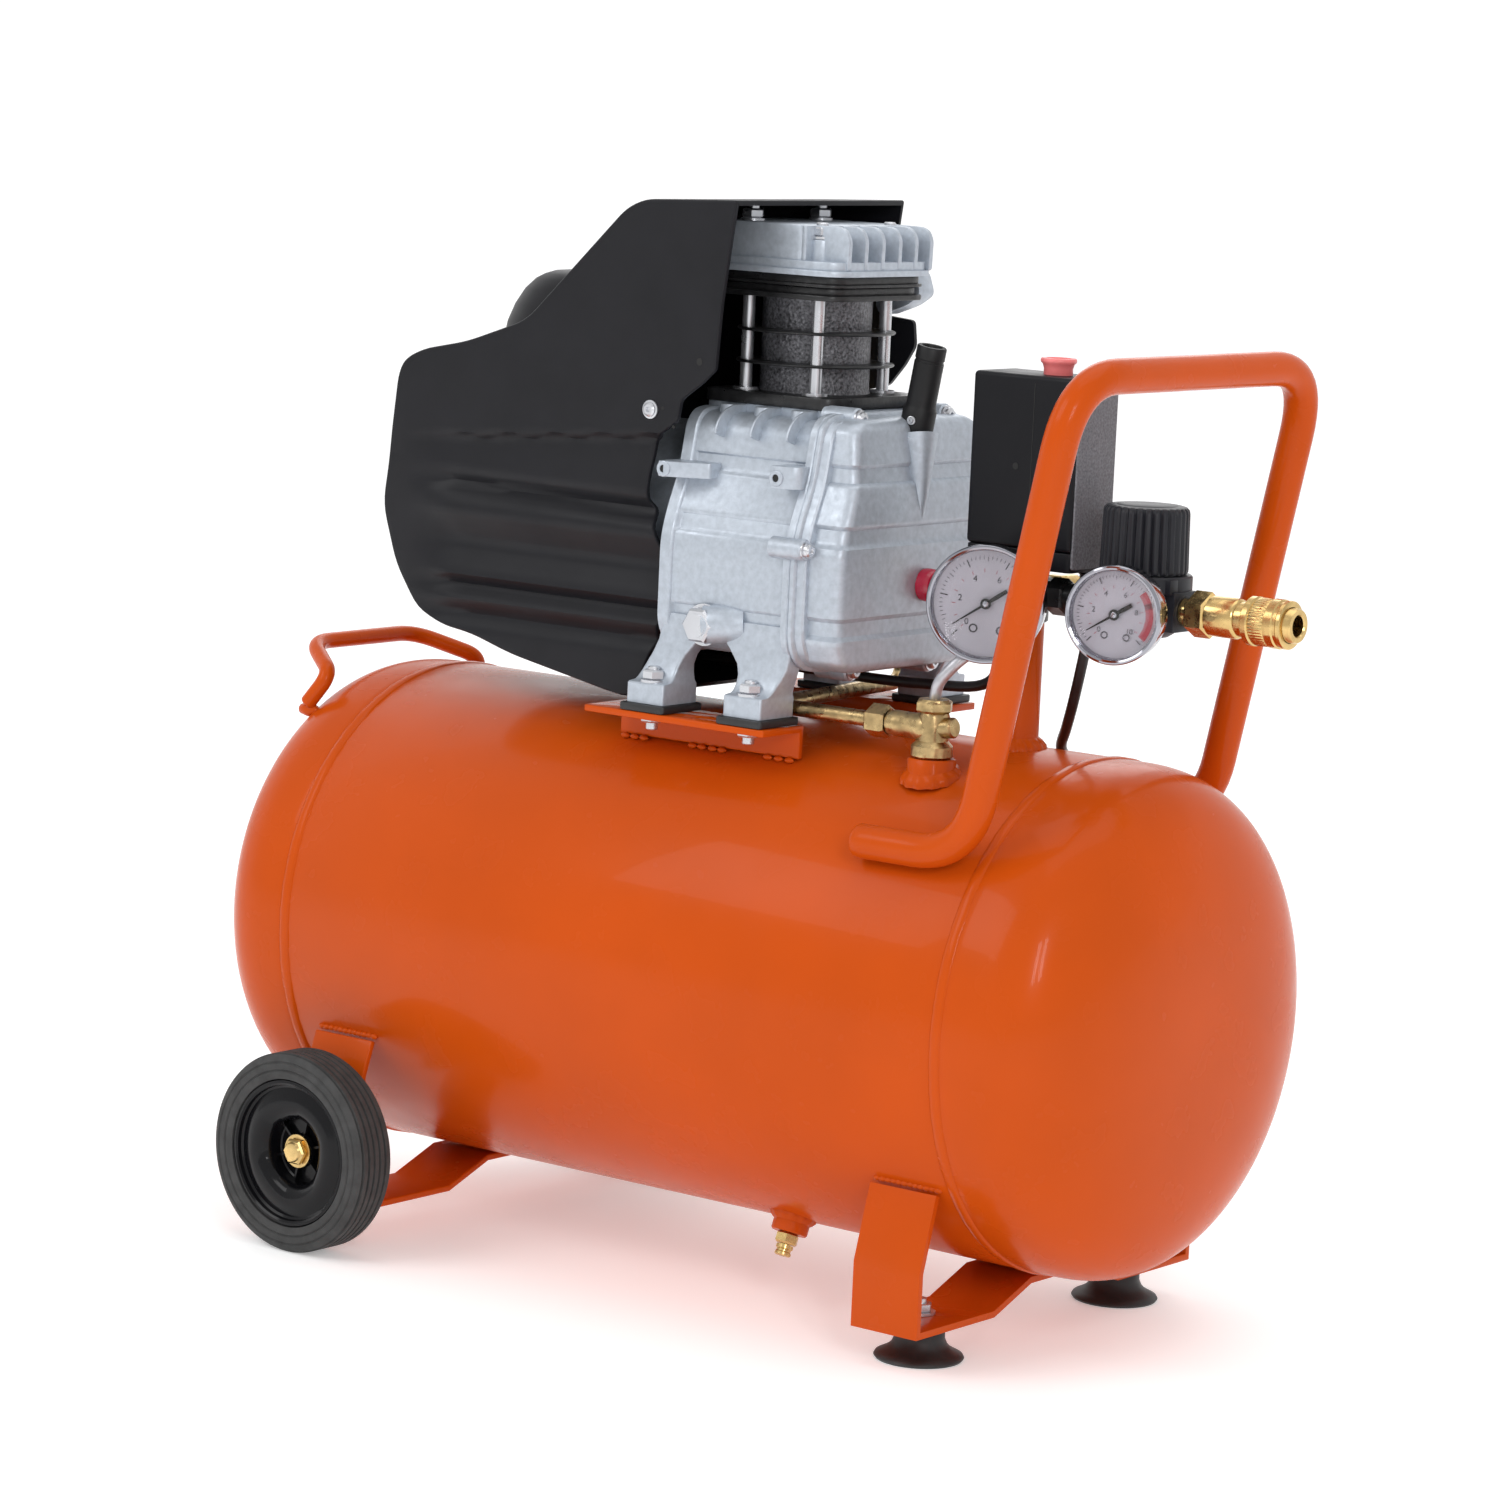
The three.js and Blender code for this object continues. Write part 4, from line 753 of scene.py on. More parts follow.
def build_crankcase():
    case = Build()
    rear = [
        (-15.6, 0.93, 0), (-15, 0.95, 0), (-14, 0.965, 0), (-7, 0.965, 0), (-6, 0.955, 0), (-5.6, 0.945, 0),
        (-4, 0.942, 1),
    ]
    front = [
        (76, 0.94, 1), (77.2, 0.945, 0), (78, 0.96, 0), (78.6, 0.988, 0), (79.4, 1.0, 0), (83.2, 1.0, 0),
        (84, 0.99, 0),
    ]
    case.rings([case_loop(x, share, 9, groove) for x, share, groove in rear + front])
    case.collar(57, 62, -77.7, -11, X, (0, 0, SHAFT_Z), 96)
    case.prism(rounded(rectangle(CYL_X - 47, CYL_X + 47, -46, 46), 10), "z", 512, 527.1)
    shape = [
        (351, 0, 102), (362.4, 0, 102), (363.2, 0.1, 101.2), (363.8, 0.2, 95.8), (365.4, 0.3, 93.4),
        (369, 0.42, 91), (374, 0.55, 89), (380, 0.68, 87.4), (388, 0.84, 86.2), (396, 0.95, 85.5),
        (404, 1, 85),
    ]
    for sign in (-1, 1):
        rear_leg, front_leg = [], []
        for z, share, outer in shape:
            inner = 69 + 7 * share
            pull = smoothstep(z, 366, 402)
            rear_leg.append((z, -23 + 11 * smoothstep(z, 360, 396), 4.5 + 20 * pull**1.6, inner, outer))
            front_leg.append((z, 49 - 20 * pull**1.8, 76.5 + 7.5 * smoothstep(z, 360, 384), inner, outer))
        leg(case, rear_leg, sign)
        leg(case, front_leg, sign)
    case.done("crankcase_casting", "cast_aluminium", replaces="crankcase", sharp=32)
    detail = Build()
    fin = [
        (-44, 527), (-58, 526.8), (-65, 524.6), (-70.4, 520), (-73.6, 514.4), (-74.4, 510.6), (-66, 508),
        (-44, 514),
    ]
    for sign in (-1, 1):
        for x in (13, 39, 65.5):
            detail.prism([(-sign * y, z) for y, z in rounded(fin, 2, 3)], "x", x - 0.9, x + 0.9)
        for x in (4, 30, 57):
            detail.turned([(0, 512), (6, 512), (5.4, 526.6), (0, 526.6)], Z, (x, sign * 50, 0), 28)
    near_lug = [(-16, -89.4), (-14.6, -90.4), (-8, -90.6), (14, -78), (14, -64), (-14, -64), (-16, -70)]
    detail.prism(rounded(near_lug, 2), "z", 484, 493)
    right_lug = [(65, -86), (66, -87.4), (72, -87.4), (80, -84), (83, -80), (83, -64), (68, -66), (65, -72)]
    detail.prism(rounded(right_lug, 2), "z", 484, 497)
    for x, y, z in ((-11.4, -90.2, 488.5), (69.4, -87.2, 490)):
        profile = [(2.2, -8), (4.9, -8), (4.9, 0.2), (4.3, 0.9), (2.2, 0.9), (2.2, -8)]
        detail.turned(profile, Y * -1, (x, y, z), 32)
    detail.sweep([(44, -76, 402), (31, -83, 401), (22, -87, 400)], 11.6, 36)
    detail.done("crankcase_ribs", "cast_aluminium", bevel=0.6, angle=40, sharp=38)
    # Dark rods that fill the lug holes: painted shade inside the holes.
    dark = Build()
    dark.rod(2.25, (-11.4, -90.5, 488.5), (-11.4, -84, 488.5), 20)
    dark.rod(2.25, (69.4, -87.5, 490), (69.4, -80, 490), 20)
    dark.done("lug_hole_shade", "dark_slot")
    plug, axis = Build(), (22, 0, 400)
    plug.disc(12.4, 86.6, 88.4, Y * -1, axis, 40)
    plug.hexagon(19, (22, -88.2, 400), (22, -96, 400), 1.4)
    plug.disc(7, 94, 96.6, Y * -1, axis)
    plug.done("oil_drain_plug_head", "plated_steel", replaces="oil_drain_plug", sharp=30)


def cover_slice(z):
    """The cover's bulge at a height: from the flange round the front, let in along the cast bands."""
    edge = min(z - 379, 525 - z)
    inset = 7 - math.sqrt(49 - (7 - min(edge, 7)) ** 2) + 1.3 * groove_depth(z)
    half = min(case_half_width(z), 90) * 0.96 - 2 - inset
    front = 115.3 - cover_lean(115, z) - inset
    outline = [(86, -half), (front, -half + 2), (front, half - 2), (86, half)]
    return [Vector((x, y, z)) for x, y in rounded(outline, [0.5, 8, 8, 0.5], 6)]


def build_cover():
    rims = [
        (84.4, 0.985), (84.8, 1.0), (87, 1.0), (87.8, 0.99), (88.2, 0.975), (90, 0.972), (92.4, 0.968),
        (93.4, 0.955), (93.6, 0.93),
    ]
    cover = Build().rings([case_loop(x, share, 12) for x, share in rims])
    cover.rings([cover_slice(379.01 + (525 - 379.02) * k / 110) for k in range(111)])
    neck = [(114, -5, 466), (112, -4, 480), (108.6, -2.4, 498), (104.6, 0, 514.6)]
    cover.sweep(neck, lambda share: 1.2 + 11.6 * share, 36)
    profile = [(0, -4), (12.2, -4), (13, -2.6), (13, -0.6), (12.2, 0.2), (0, 0.2)]
    cover.turned(profile, Vector((0.1736, 0, 0.9848)), (104.2, 0, 515), 40)
    screw_x = 94.2
    spots = [(-43, 524.5), (43, 524.5), (-88.5, 450.6), (88.5, 450.6), (-39, 377.5), (39, 377.5)]
    for y, z in spots:
        cover.rod(6.4, (70, y, z), (screw_x, y, z), 28, 1)
    cover.done("crankcase_cover_casting", "cast_aluminium", replaces="crankcase_cover", sharp=34)
    screws = Build()
    for y, z in spots:
        screw(screws, (screw_x, y, z), X, 4.4, 4.4)
    screws.done("cover_screws", "plated_steel", sharp=30)
    profile = [
        (0, 104), (8.4, 104), (8.4, 115.5), (9.6, 115.6), (9.9, 118), (9.6, 121.8), (8.6, 123.8),
        (6.4, 124.6), (5.9, 123.6), (0, 123.2),
    ]
    glass = Build().turned(profile, X, (0, 0, 428), 48)
    glass.done("oil_sight_glass_lens", "sight_glass_red", replaces="oil_sight_glass", sharp=35)
    tube, foot = Build(), Vector((103.5, 0, 515))
    lean = Vector((math.sin(math.radians(10)), 0, math.cos(math.radians(10))))
    profile = [
        (0, -12), (5, -12), (5, 0.4), (9.6, 0.4), (10, 1.2), (10, 15), (9.2, 16.4), (8.75, 18), (8.75, 43.4),
        (8.3, 43.8), (8.3, 45), (8.75, 45.4), (8.75, 52.2), (8.2, 53), (6.4, 53), (6, 52.2), (6, 40), (0, 40),
    ]
    tube.turned(profile, lean, foot, 48)
    tube.done("oil_breather_tube", "black_rubber", "oil_breather", replaces="oil_breather", sharp=35)
    clip = Build()
    screw(clip, foot + lean * 9 + Vector((2.2, -9.6, 0)), Vector((0.25, -1, 0)), 2.0, 2.2)
    clip.done("breather_rivet", "plated_steel", "oil_breather", sharp=30)


STUDS = [(CYL_X + sx * 25.7, sy * 33) for sx in (-1, 1) for sy in (-1, 1)]


def build_cylinder():
    iron = Build()
    for half, radius, low, high in ((48, 12, 527.4, 534.6), (47, 14, 590.6, 593.8), (44, 14, 593.6, 598)):
        iron.prism(rounded(square(half), radius), "z", low, high)
    for z in (551.6, 570.6):
        fin = [(30, z - 1.1), (44.6, z - 0.9), (45.6, z), (44.6, z + 0.9), (30, z + 1.1), (30, z - 1.1)]
        iron.turned(fin, Z, (CYL_X, 0, 0), 96, lambda a, i: 1.8 * abs(math.sin(2 * a)) ** 3)
    iron.done("cylinder_casting", "black_cast_iron", replaces="cylinder", bevel=0.7, angle=50, sharp=40)
    profile = [(23.8, 534), (33.5, 534), (32.5, 537), (32.5, 588), (33.5, 591), (23.8, 591), (23.8, 534)]
    wall = Build().turned(profile, Z, (CYL_X, 0, 0), 96)
    wall.done("cylinder_barrel", "rough_iron", sharp=40)
    plate = Build()
    plate.prism(rounded(square(47), 14), "z", 598.4, 600.2)
    plate.prism(rounded(square(45.5), 14), "z", 600.2, 604.6)
    plate.done("valve_plate_stack", "black_cast_iron", replaces="valve_plate", bevel=0.4, sharp=30)
    studs = Build()
    for x, y in STUDS:
        studs.rod(3.7, (x, y, 534), (x, y, 606), 28)
        studs.turned([(3.9, 534.6), (7.5, 534.6), (7.5, 536), (3.9, 536)], Z, (x, y, 0), 28)
    studs.done("cylinder_studs", "plated_steel", sharp=30)


def build_head():
    head = Build()
    head.prism(rounded(square(50.6), 18, 8), "z", 604.9, 608.4)
    head.prism(rounded(square(48.6), 17, 8), "z", 608, 613.4)
    plateau = [(-20.4, -47), (51, -47), (51, -26), (60, -26), (60, 26), (51, 26), (51, 47), (-20.4, 47)]
    head.prism(rounded(plateau, [9, 4, 4, 3, 3, 4, 4, 9], 5), "z", 612.6, 633.8)
    for y in (-36, -20, -3.5, 13, 29, 44):
        rib = [(46, 608), (77, 608), (77.4, 626), (74.6, 631.6), (70, 633.6), (46, 633.8)]
        head.prism(rounded(rib, 2.4), "y", y - 1.7, y + 1.7)
    head.box(49.2, 52.6, -46.6, -34, 611, 633.6)
    for x, y in STUDS:
        head.rod(7.6, (x, y, 606), (x, y, 626 if x > CYL_X else 633), 32, 0.8)
    elbow = [(36, 606.4), (62, 607), (67, 593), (57, 586), (38, 579), (34, 584)]
    head.prism(rounded(elbow, 4), "y", 49, 64)
    head.rod(9, (14, 40, 614.5), (14, 54, 614.5), 36, 0.8)
    head.done(
        "cylinder_head_casting", "cast_aluminium", replaces="cylinder_head", bevel=0.9, angle=30, sharp=36,
    )
    nuts = Build()
    for x, y in STUDS:
        top = 626 if x > CYL_X else 633.8
        nuts.disc(7.2, top, top + 1.4, Z, (x, y, 0))
        nuts.hexagon(12, (x, y, top + 1.4), (x, y, top + 7), 1)
        nuts.rod(3.6, (x, y, top + 6.6), (x, y, top + 9.4), 24, 0.6)
    nuts.done("head_nuts", "plated_steel", sharp=30)


def build_pump_mounts():
    pads, bolts = Build(), Build()
    for x0 in (-23, 49):
        for sign in (-1, 1):
            x, y = x0 + 13.75, sign * 86
            hole = sign * 93.5
            pad = rounded(rectangle(x0 - 3, x0 + 30.5, y - 19, y + 19), 3)
            pads.prism(pad, "z", RAIL_TOP + 0.3, 350.8)
            bolts.collar(4.4, 8, 363.2, 364.8, Z, (x, hole, 0))
            bolts.hexagon(12, (x, hole, 364.8), (x, hole, 370.6), 1)
            bolts.collar(4, 8, 345.2, 346.6, Z, (x, hole, 0))
            bolts.hexagon(12, (x, hole, 339.4), (x, hole, 345.2), 1)
            bolts.rod(3.6, (x, hole, 335), (x, hole, 372.6), 24, 0.6)
    pads.done("pump_pads", "foot_rubber", bevel=0.8)
    bolts.done("pump_bolts", "plated_steel", sharp=30)


build_crankcase()
build_cover()
build_cylinder()
build_head()
build_pump_mounts()


# ---- Shroud ----
SHROUD_BACK = [
    (-42, 348), (-59, 350), (-138, 364), (-170, 373), (-195, 376), (-214, 384), (-231, 410), (-240, 446),
    (-234, 474), (-228, 528), (-221, 541), (-208, 547), (-174, 554), (-128, 570), (-54, 641), (-40, 647),
    (28, 650),
]
SHROUD_FRONT = [(20, 589), (17.5, 551), (-7, 528), (-9, 516), (-28, 503), (-31, 467), (-22, 447), (-16, 410)]
SHROUD_HALF = 82.5
# Ridges (less than 0) and valleys pressed into the sides: height, depth and half width of each.
SHROUD_WAVES = [(448.9, -1.6, 6), (428, 2.8, 9), (410, -1.2, 4), (402, 2.2, 3.6), (394, -1, 4), (384, 2, 5)]


def wave(z, middle, depth, width):
    return depth * math.exp(-(((z - middle) / width) ** 2))


def shroud_relief(x, z):
    """How far a side is pressed in: a step under a long crease, then waves that fade at the back."""
    crease = 507 + (x + 30) * 0.08
    valley = 462 - (x + 32) * 0.023
    step = 5 * smoothstep(crease - z, 0, 3) * (1 - smoothstep(crease - z, 4, 34))
    waves = wave(z, valley, 3.2, 5.5) + sum(wave(z, *shape) for shape in SHROUD_WAVES)
    return (step + 2.1 * waves) * smoothstep(x, -214, -186) + 9 * smoothstep(500 - z, 0, 130)


def build_shroud():
    """The shroud's hollow shape, cut into a fine grid so that its sides can be pressed into waves."""
    outer = Build()
    radii = [10] * (len(SHROUD_BACK) - 1) + [2] * (len(SHROUD_FRONT) + 1)
    outer.prism(rounded(SHROUD_BACK + SHROUD_FRONT, radii), "y", -SHROUD_HALF, SHROUD_HALF)
    bmesh.ops.recalc_face_normals(outer.bm, faces=outer.bm.faces)
    obj = outer.to_object("shroud_outer")
    bevel = obj.modifiers.new("bevel", "BEVEL")
    bevel.width, bevel.segments, bevel.limit_method = 6, 5, "ANGLE"
    bevel.angle_limit = math.radians(60)
    inner = Build()
    middle = Vector((-100, 455))
    wide = SHROUD_BACK + [(x + 70, z) for x, z in SHROUD_FRONT]
    wide[0] = (60, 348)
    wide[len(SHROUD_BACK) - 1] = (110, 652)
    points = [Vector(p) for p in rounded(wide, 10, 4)]
    moved = []
    wall, inner_half = 2.6, SHROUD_HALF - 2.9
    for i, point in enumerate(points):
        along = (points[(i + 1) % len(points)] - points[i - 1]).normalized()
        inward = Vector((-along.y, along.x))
        moved.append(point + inward * (wall if inward.dot(middle - point) > 0 else -wall))
    inner.prism(moved, "y", -inner_half, inner_half)
    for k in range(6):
        inner.box(-250, -224, -62, 62, 396 + k * 11, 401 + k * 11)
    bmesh.ops.recalc_face_normals(inner.bm, faces=inner.bm.faces)
    cutter = inner.to_object("shroud_inner")
    boolean = obj.modifiers.new("cut", "BOOLEAN")
    boolean.object, boolean.operation, boolean.solver = cutter, "DIFFERENCE", "EXACT"
    boolean.use_self = True
    baked = evaluated_mesh(obj)
    bpy.data.objects.remove(obj)
    bpy.data.objects.remove(cutter)
    shell = Build()
    shell.bm.from_mesh(baked)
    for axis, places in ((Z, range(352, 530, 3)), (X, range(-232, 20, 12))):
        for place in places:
            geometry = shell.bm.verts[:] + shell.bm.edges[:] + shell.bm.faces[:]
            bmesh.ops.bisect_plane(shell.bm, geom=geometry, plane_co=axis * place, plane_no=axis, dist=0.01)
    for vert in shell.bm.verts:
        reach = smoothstep(abs(vert.co.y), 70, 79)
        vert.co.y -= math.copysign(shroud_relief(vert.co.x, vert.co.z) * reach, vert.co.y)
        vert.co.z -= 3.2 * (vert.co.y / SHROUD_HALF) ** 2 * smoothstep(vert.co.z, 530, 545)
    dome = [
        (0, 49), (12, 48.8), (20, 48), (26, 46), (31.5, 43), (38, 36.5), (43.8, 27), (48, 16.4), (50, 6),
        (50, -8), (0, -8),
    ]
    shell.turned(dome, Z, (-154, 6, 545), 72)
    tongue = [(-6, 578), (23, 577), (40.5, 575.5), (42.4, 560), (35, 548), (24, 535), (-6, 528)]
    shell.prism(rounded(tongue, 3), "y", 79.7, 82.3)
    shell.done("fan_shroud_shell", "shroud_plastic", replaces="fan_shroud", sharp=42)
    screws = Build()
    for sign in (-1, 1):
        screw(screws, (-28.9, sign * 82.4, 521.5), Y * sign, 4.4, 3.0)
    screws.done("shroud_screws", "plated_steel", sharp=30)
    # Dark discs on both sides of the shroud: painted shade where its pin holes are.
    holes = Build()
    for sign in (-1, 1):
        for x, z, r in ((6, 552, 2.2), (-20, 523, 1.0), (-11.4, 512.6, 1.0)):
            holes.rod(r, (x, sign * 81.6, z), (x, sign * 82.62, z), 20)
    holes.done("shroud_pin_hole_shade", "dark_slot")


build_shroud()


# ---- Switch, line and gauges ----
def build_switch():
    cover = Build().prism(rounded(rectangle(157, 231, -20.5, 20.5), 4, 5), "z", 458.4, 557.5)
    cover.done(
        "switch_cover_shell", "switch_plastic", replaces="pressure_switch_cover", bevel=2.6, segments=4,
        angle=50, sharp=40,
    )
    base = Build()
    base.prism(rounded(rectangle(157.5, 230.5, -20, 20), 4, 5), "z", 447, 458.2)
    for x, y, low in ((222, 14, 435), (168, 12, 438)):
        profile = [(0, 448), (7.2, 448), (7.2, 444.6), (6, 443.8), (5.6, low + 1), (4.8, low), (0, low)]
        base.turned(profile, Z, (x, y, 0), 36)
    base.done(
        "switch_base_pan", "switch_plastic", replaces="pressure_switch_base", bevel=1.2, segments=3, sharp=38,
    )
    panel = Build().prism(rounded(rectangle(-19, 19, 449, 554.5), 2), "x", 229.8, 231.5)
    panel.done("switch_side_panel", "grey_grain", bevel=0.5, sharp=30)
    seam = Build()
    seam.box(200.4, 200.9, -20.62, -20.3, 459.4, 553)
    seam.disc(2.0, 20.2, 20.7, Y * -1, (190, 0, 505), 24)
    seam.done("switch_cover_seam", "dark_slot")
    profile = [
        (0, 514), (5, 514), (5, 540), (8.2, 540), (8.6, 541), (8.4, 561), (9.2, 563.6), (10.3, 564.6),
        (10.5, 565.4), (10.4, 566.4), (9.9, 567), (7.4, 567), (6.8, 566), (0, 565.8),
    ]
    knob = Build().turned(profile, Z, (202, 0, 0), 64)
    knob.done("switch_knob_cap", "knob_red", "switch_knob", replaces="switch_knob", sharp=35)


def gauge_axis(gauge):
    angle = math.radians(gauge["turn"])
    return Vector((math.sin(angle), -math.cos(angle), 0))


def build_line():
    manifold = Build()
    port = gauge_axis(GAUGES["tank"])
    face = Vector(GAUGES["tank"]["face"])
    profile = [(0, 414.4), (14, 414.4), (15, 415.4), (15, 439.8), (14, 441), (0, 441)]
    manifold.turned(profile, Z, (RISER_X, 0, 0), 48)
    manifold.rod(8.5, (RISER_X, 0, LINE_Z), (243, 0, LINE_Z), 36, 0.5)
    manifold.hexagon(19, (206, 0, LINE_Z), (218, 0, LINE_Z), 1)
    manifold.hexagon(19, (230, 0, LINE_Z), (242.6, 0, LINE_Z), 1)
    manifold.rod(7.5, face - port * 64, face - port * 46.6, 32, 0.5)
    manifold.rod(8, (RISER_X, 0, LINE_Z), (RISER_X, 24, LINE_Z), 32, 0.5)
    manifold.hexagon(17, (RISER_X, 0, 440.5), (RISER_X, 0, 446.6), 0.6)
    manifold.done("manifold_casting", "black_cast_iron", replaces="outlet_manifold", sharp=38)
    valve = Build()
    profile = [
        (0, 24.4), (6.4, 24.4), (6.4, 30), (7.5, 38), (7.5, 50.6), (6.6, 51.8), (2.4, 51.8), (2.4, 40),
        (0, 40),
    ]
    valve.turned(profile, Y, (RISER_X, 0, LINE_Z), 40)
    valve.hexagon(15.4, (RISER_X, 30, LINE_Z), (RISER_X, 38, LINE_Z), 1)
    valve.done("safety_valve_brass", "brass", replaces="safety_valve_body", sharp=35)
    ring = Build()
    angles = [2 * math.pi * k / 48 for k in range(49)]
    ring.sweep([(RISER_X, 66 + 9 * math.cos(a), LINE_Z + 9 * math.sin(a)) for a in angles], 1.5, 14)
    ring.rod(1.9, (RISER_X, 42, LINE_Z), (RISER_X, 57.6, LINE_Z), 20, 0.4)
    ring.done("safety_pull_ring", "plated_steel", "safety_ring", replaces="safety_valve_ring", sharp=45)


# Faces of a slab whose corners are listed round its underside, then round its top.
SLAB_FACES = [(0, 1, 2, 3), (7, 6, 5, 4), (0, 4, 5, 1), (1, 5, 6, 2), (2, 6, 7, 3), (3, 7, 4, 0)]


def dial_angle(share):
    """The scale runs clockwise through 270 degrees, from the lower left to the lower right."""
    return math.radians(225 - 270 * share)


def build_gauge(name):
    """Case, dial with its scale, glass and needle; the scale's numbers are plain pressures in bar."""
    gauge = GAUGES[name]
    r, depth = gauge["radius"], gauge["depth"]
    out, face = gauge_axis(gauge), Vector(gauge["face"])
    right = out.cross(Z) * -1
    to_face = Matrix.Translation(face) @ Matrix((right, Z, out)).transposed().to_4x4()
    case = Build()
    back = [(0, -depth), (r * 0.86, -depth), (r * 0.93, -depth + 1.4), (r * 0.96, -depth + 4)]
    rim = [(r * 0.96, -5.6), (r * 0.985, -5.2), (r, -4.2), (r, -1.2), (r - 0.6, -0.3), (r - 1.5, 0)]
    well = [(r - 2.6, -0.6), (r - 3.4, -2.6), (r - 3.6, -6), (0, -6)]
    case.turned(back + rim + well, out, face, 96)
    stem = 22 if name == "tank" else 16.5
    case.rod(5, face - out * (depth + stem), face - out * (depth - 0.5), 32, 0.3)
    case.hexagon(12, face - out * (depth + 9), face - out * (depth + 1), 0.8)
    case.done(f"{name}_gauge_housing", "gauge_chrome", replaces=f"{name}_gauge_case", sharp=35)
    dial = Build()
    dial.disc(r - 3.7, -6.2, -5.2, out, face, 96)
    dial.done(f"{name}_gauge_dial", "dial_white", sharp=30)
    ink, red = Build(), Build()
    lift = -5.15  # the scale's height along the axis, just over the dial
    steps = 50
    for k in range(steps + 1):
        angle = dial_angle(k / steps)
        long = k % 10 == 0
        inner = r * (0.66 if long else 0.74 if k % 5 else 0.7)
        outer = r * 0.79
        wide = 0.32 if long else 0.16
        spin = to_face @ Matrix.Rotation(angle, 4, "Z")
        ink.box(inner, outer, -wide, wide, lift, lift + 0.1, spin)
        if k % 4 == 0:
            red.box(r * 0.52, r * 0.58, -0.14, 0.14, lift, lift + 0.1, spin)
    if name == "outlet":
        arc = [math.radians(40 - 78 * k / 24) for k in range(25)]
        for a, b in zip(arc, arc[1:]):
            corners = ((r * 0.64, a), (r * 0.8, a), (r * 0.8, b), (r * 0.64, b))
            quad = [(radius * math.cos(angle), radius * math.sin(angle)) for radius, angle in corners]
            slab = [(*corner, z) for z in (lift, lift + 0.12) for corner in quad]
            red.add(slab, SLAB_FACES, to_face)
    for x, y in ((-r * 0.2, -r * 0.42), (r * 0.26, -r * 0.44)):
        ink.collar(r * 0.05, r * 0.075, lift, lift + 0.12, out, to_face @ Vector((x, y, 0)), 24)
    ink.done(f"{name}_gauge_scale", "dial_ink", sharp=30)
    red.done(f"{name}_gauge_scale_red", "dial_red", sharp=30)
    numbers(name, to_face, r, lift)
    needle = Build()
    spin = to_face @ Matrix.Rotation(math.radians(-gauge["rest"]), 4, "Z")
    half_blade = [(0.25, r * 0.66), (0.8, 0), (1.25, -r * 0.2), (1.15, -r * 0.42)]
    blade = [(-0.25, r * 0.66)] + half_blade + [(-u, v) for u, v in half_blade[:0:-1]]
    needle.rings([[spin @ Vector((u, v, w)) for u, v in blade] for w in (-4.0, -3.4)])
    profile = [(0, -4.5), (1.8, -4.5), (1.8, -4.0), (3, -4.0), (3.1, -3.2), (2.4, -2.9), (0, -2.8)]
    needle.turned(profile, out, face, 32)
    needle.done(
        f"{name}_gauge_pointer", "needle_black", f"{name}_needle", replaces=f"{name}_gauge_needle", sharp=35,
    )
    pivot = Build().turned([(0, -2.9), (1.7, -2.9), (1.7, -2.5), (1.2, -2.2), (0, -2.2)], out, face, 32)
    pivot.done(f"{name}_gauge_pivot", "gauge_chrome", f"{name}_needle", sharp=35)
    glass = [(0, -1.6), (r - 3.2, -2.3), (r - 2.9, -1.9), (r * 0.5, -1.2), (0, -1.0)]
    lens = Build().turned(glass, out, face, 96)
    lens.done(f"{name}_gauge_glass", "lens", sharp=60)


def numbers(name, to_face, r, lift):
    """Plain figures round the dial."""
    for k, figure in enumerate(("0", "2", "4", "6", "8", "10")):
        curve = bpy.data.curves.new(f"{name}_figure_{k}", "FONT")
        curve.body = figure
        curve.size = r * 0.15 * MM
        curve.align_x, curve.align_y = "CENTER", "CENTER"
        curve.extrude = 0.00005
        text = link(f"{name}_figure_{k}", curve)
        mesh = evaluated_mesh(text)
        bpy.data.objects.remove(text)
        obj = link(f"{name}_gauge_figure_{figure}", mesh)
        angle = dial_angle(k / 5)
        spot = to_face @ Vector((r * 0.45 * math.cos(angle), r * 0.45 * math.sin(angle), lift + 0.12))
        obj.data.transform(Matrix.Translation(at(*spot)) @ to_face.to_3x3().to_4x4())
        obj.data.materials.append(MATERIALS["dial_ink"])
        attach(obj, "base")


def grip(angle, i):
    """The regulator knob's 30 ribs, on the points of its side."""
    return -1.5 * (0.5 + 0.5 * math.cos(30 * angle)) ** 3 if 3 <= i <= 7 else 0


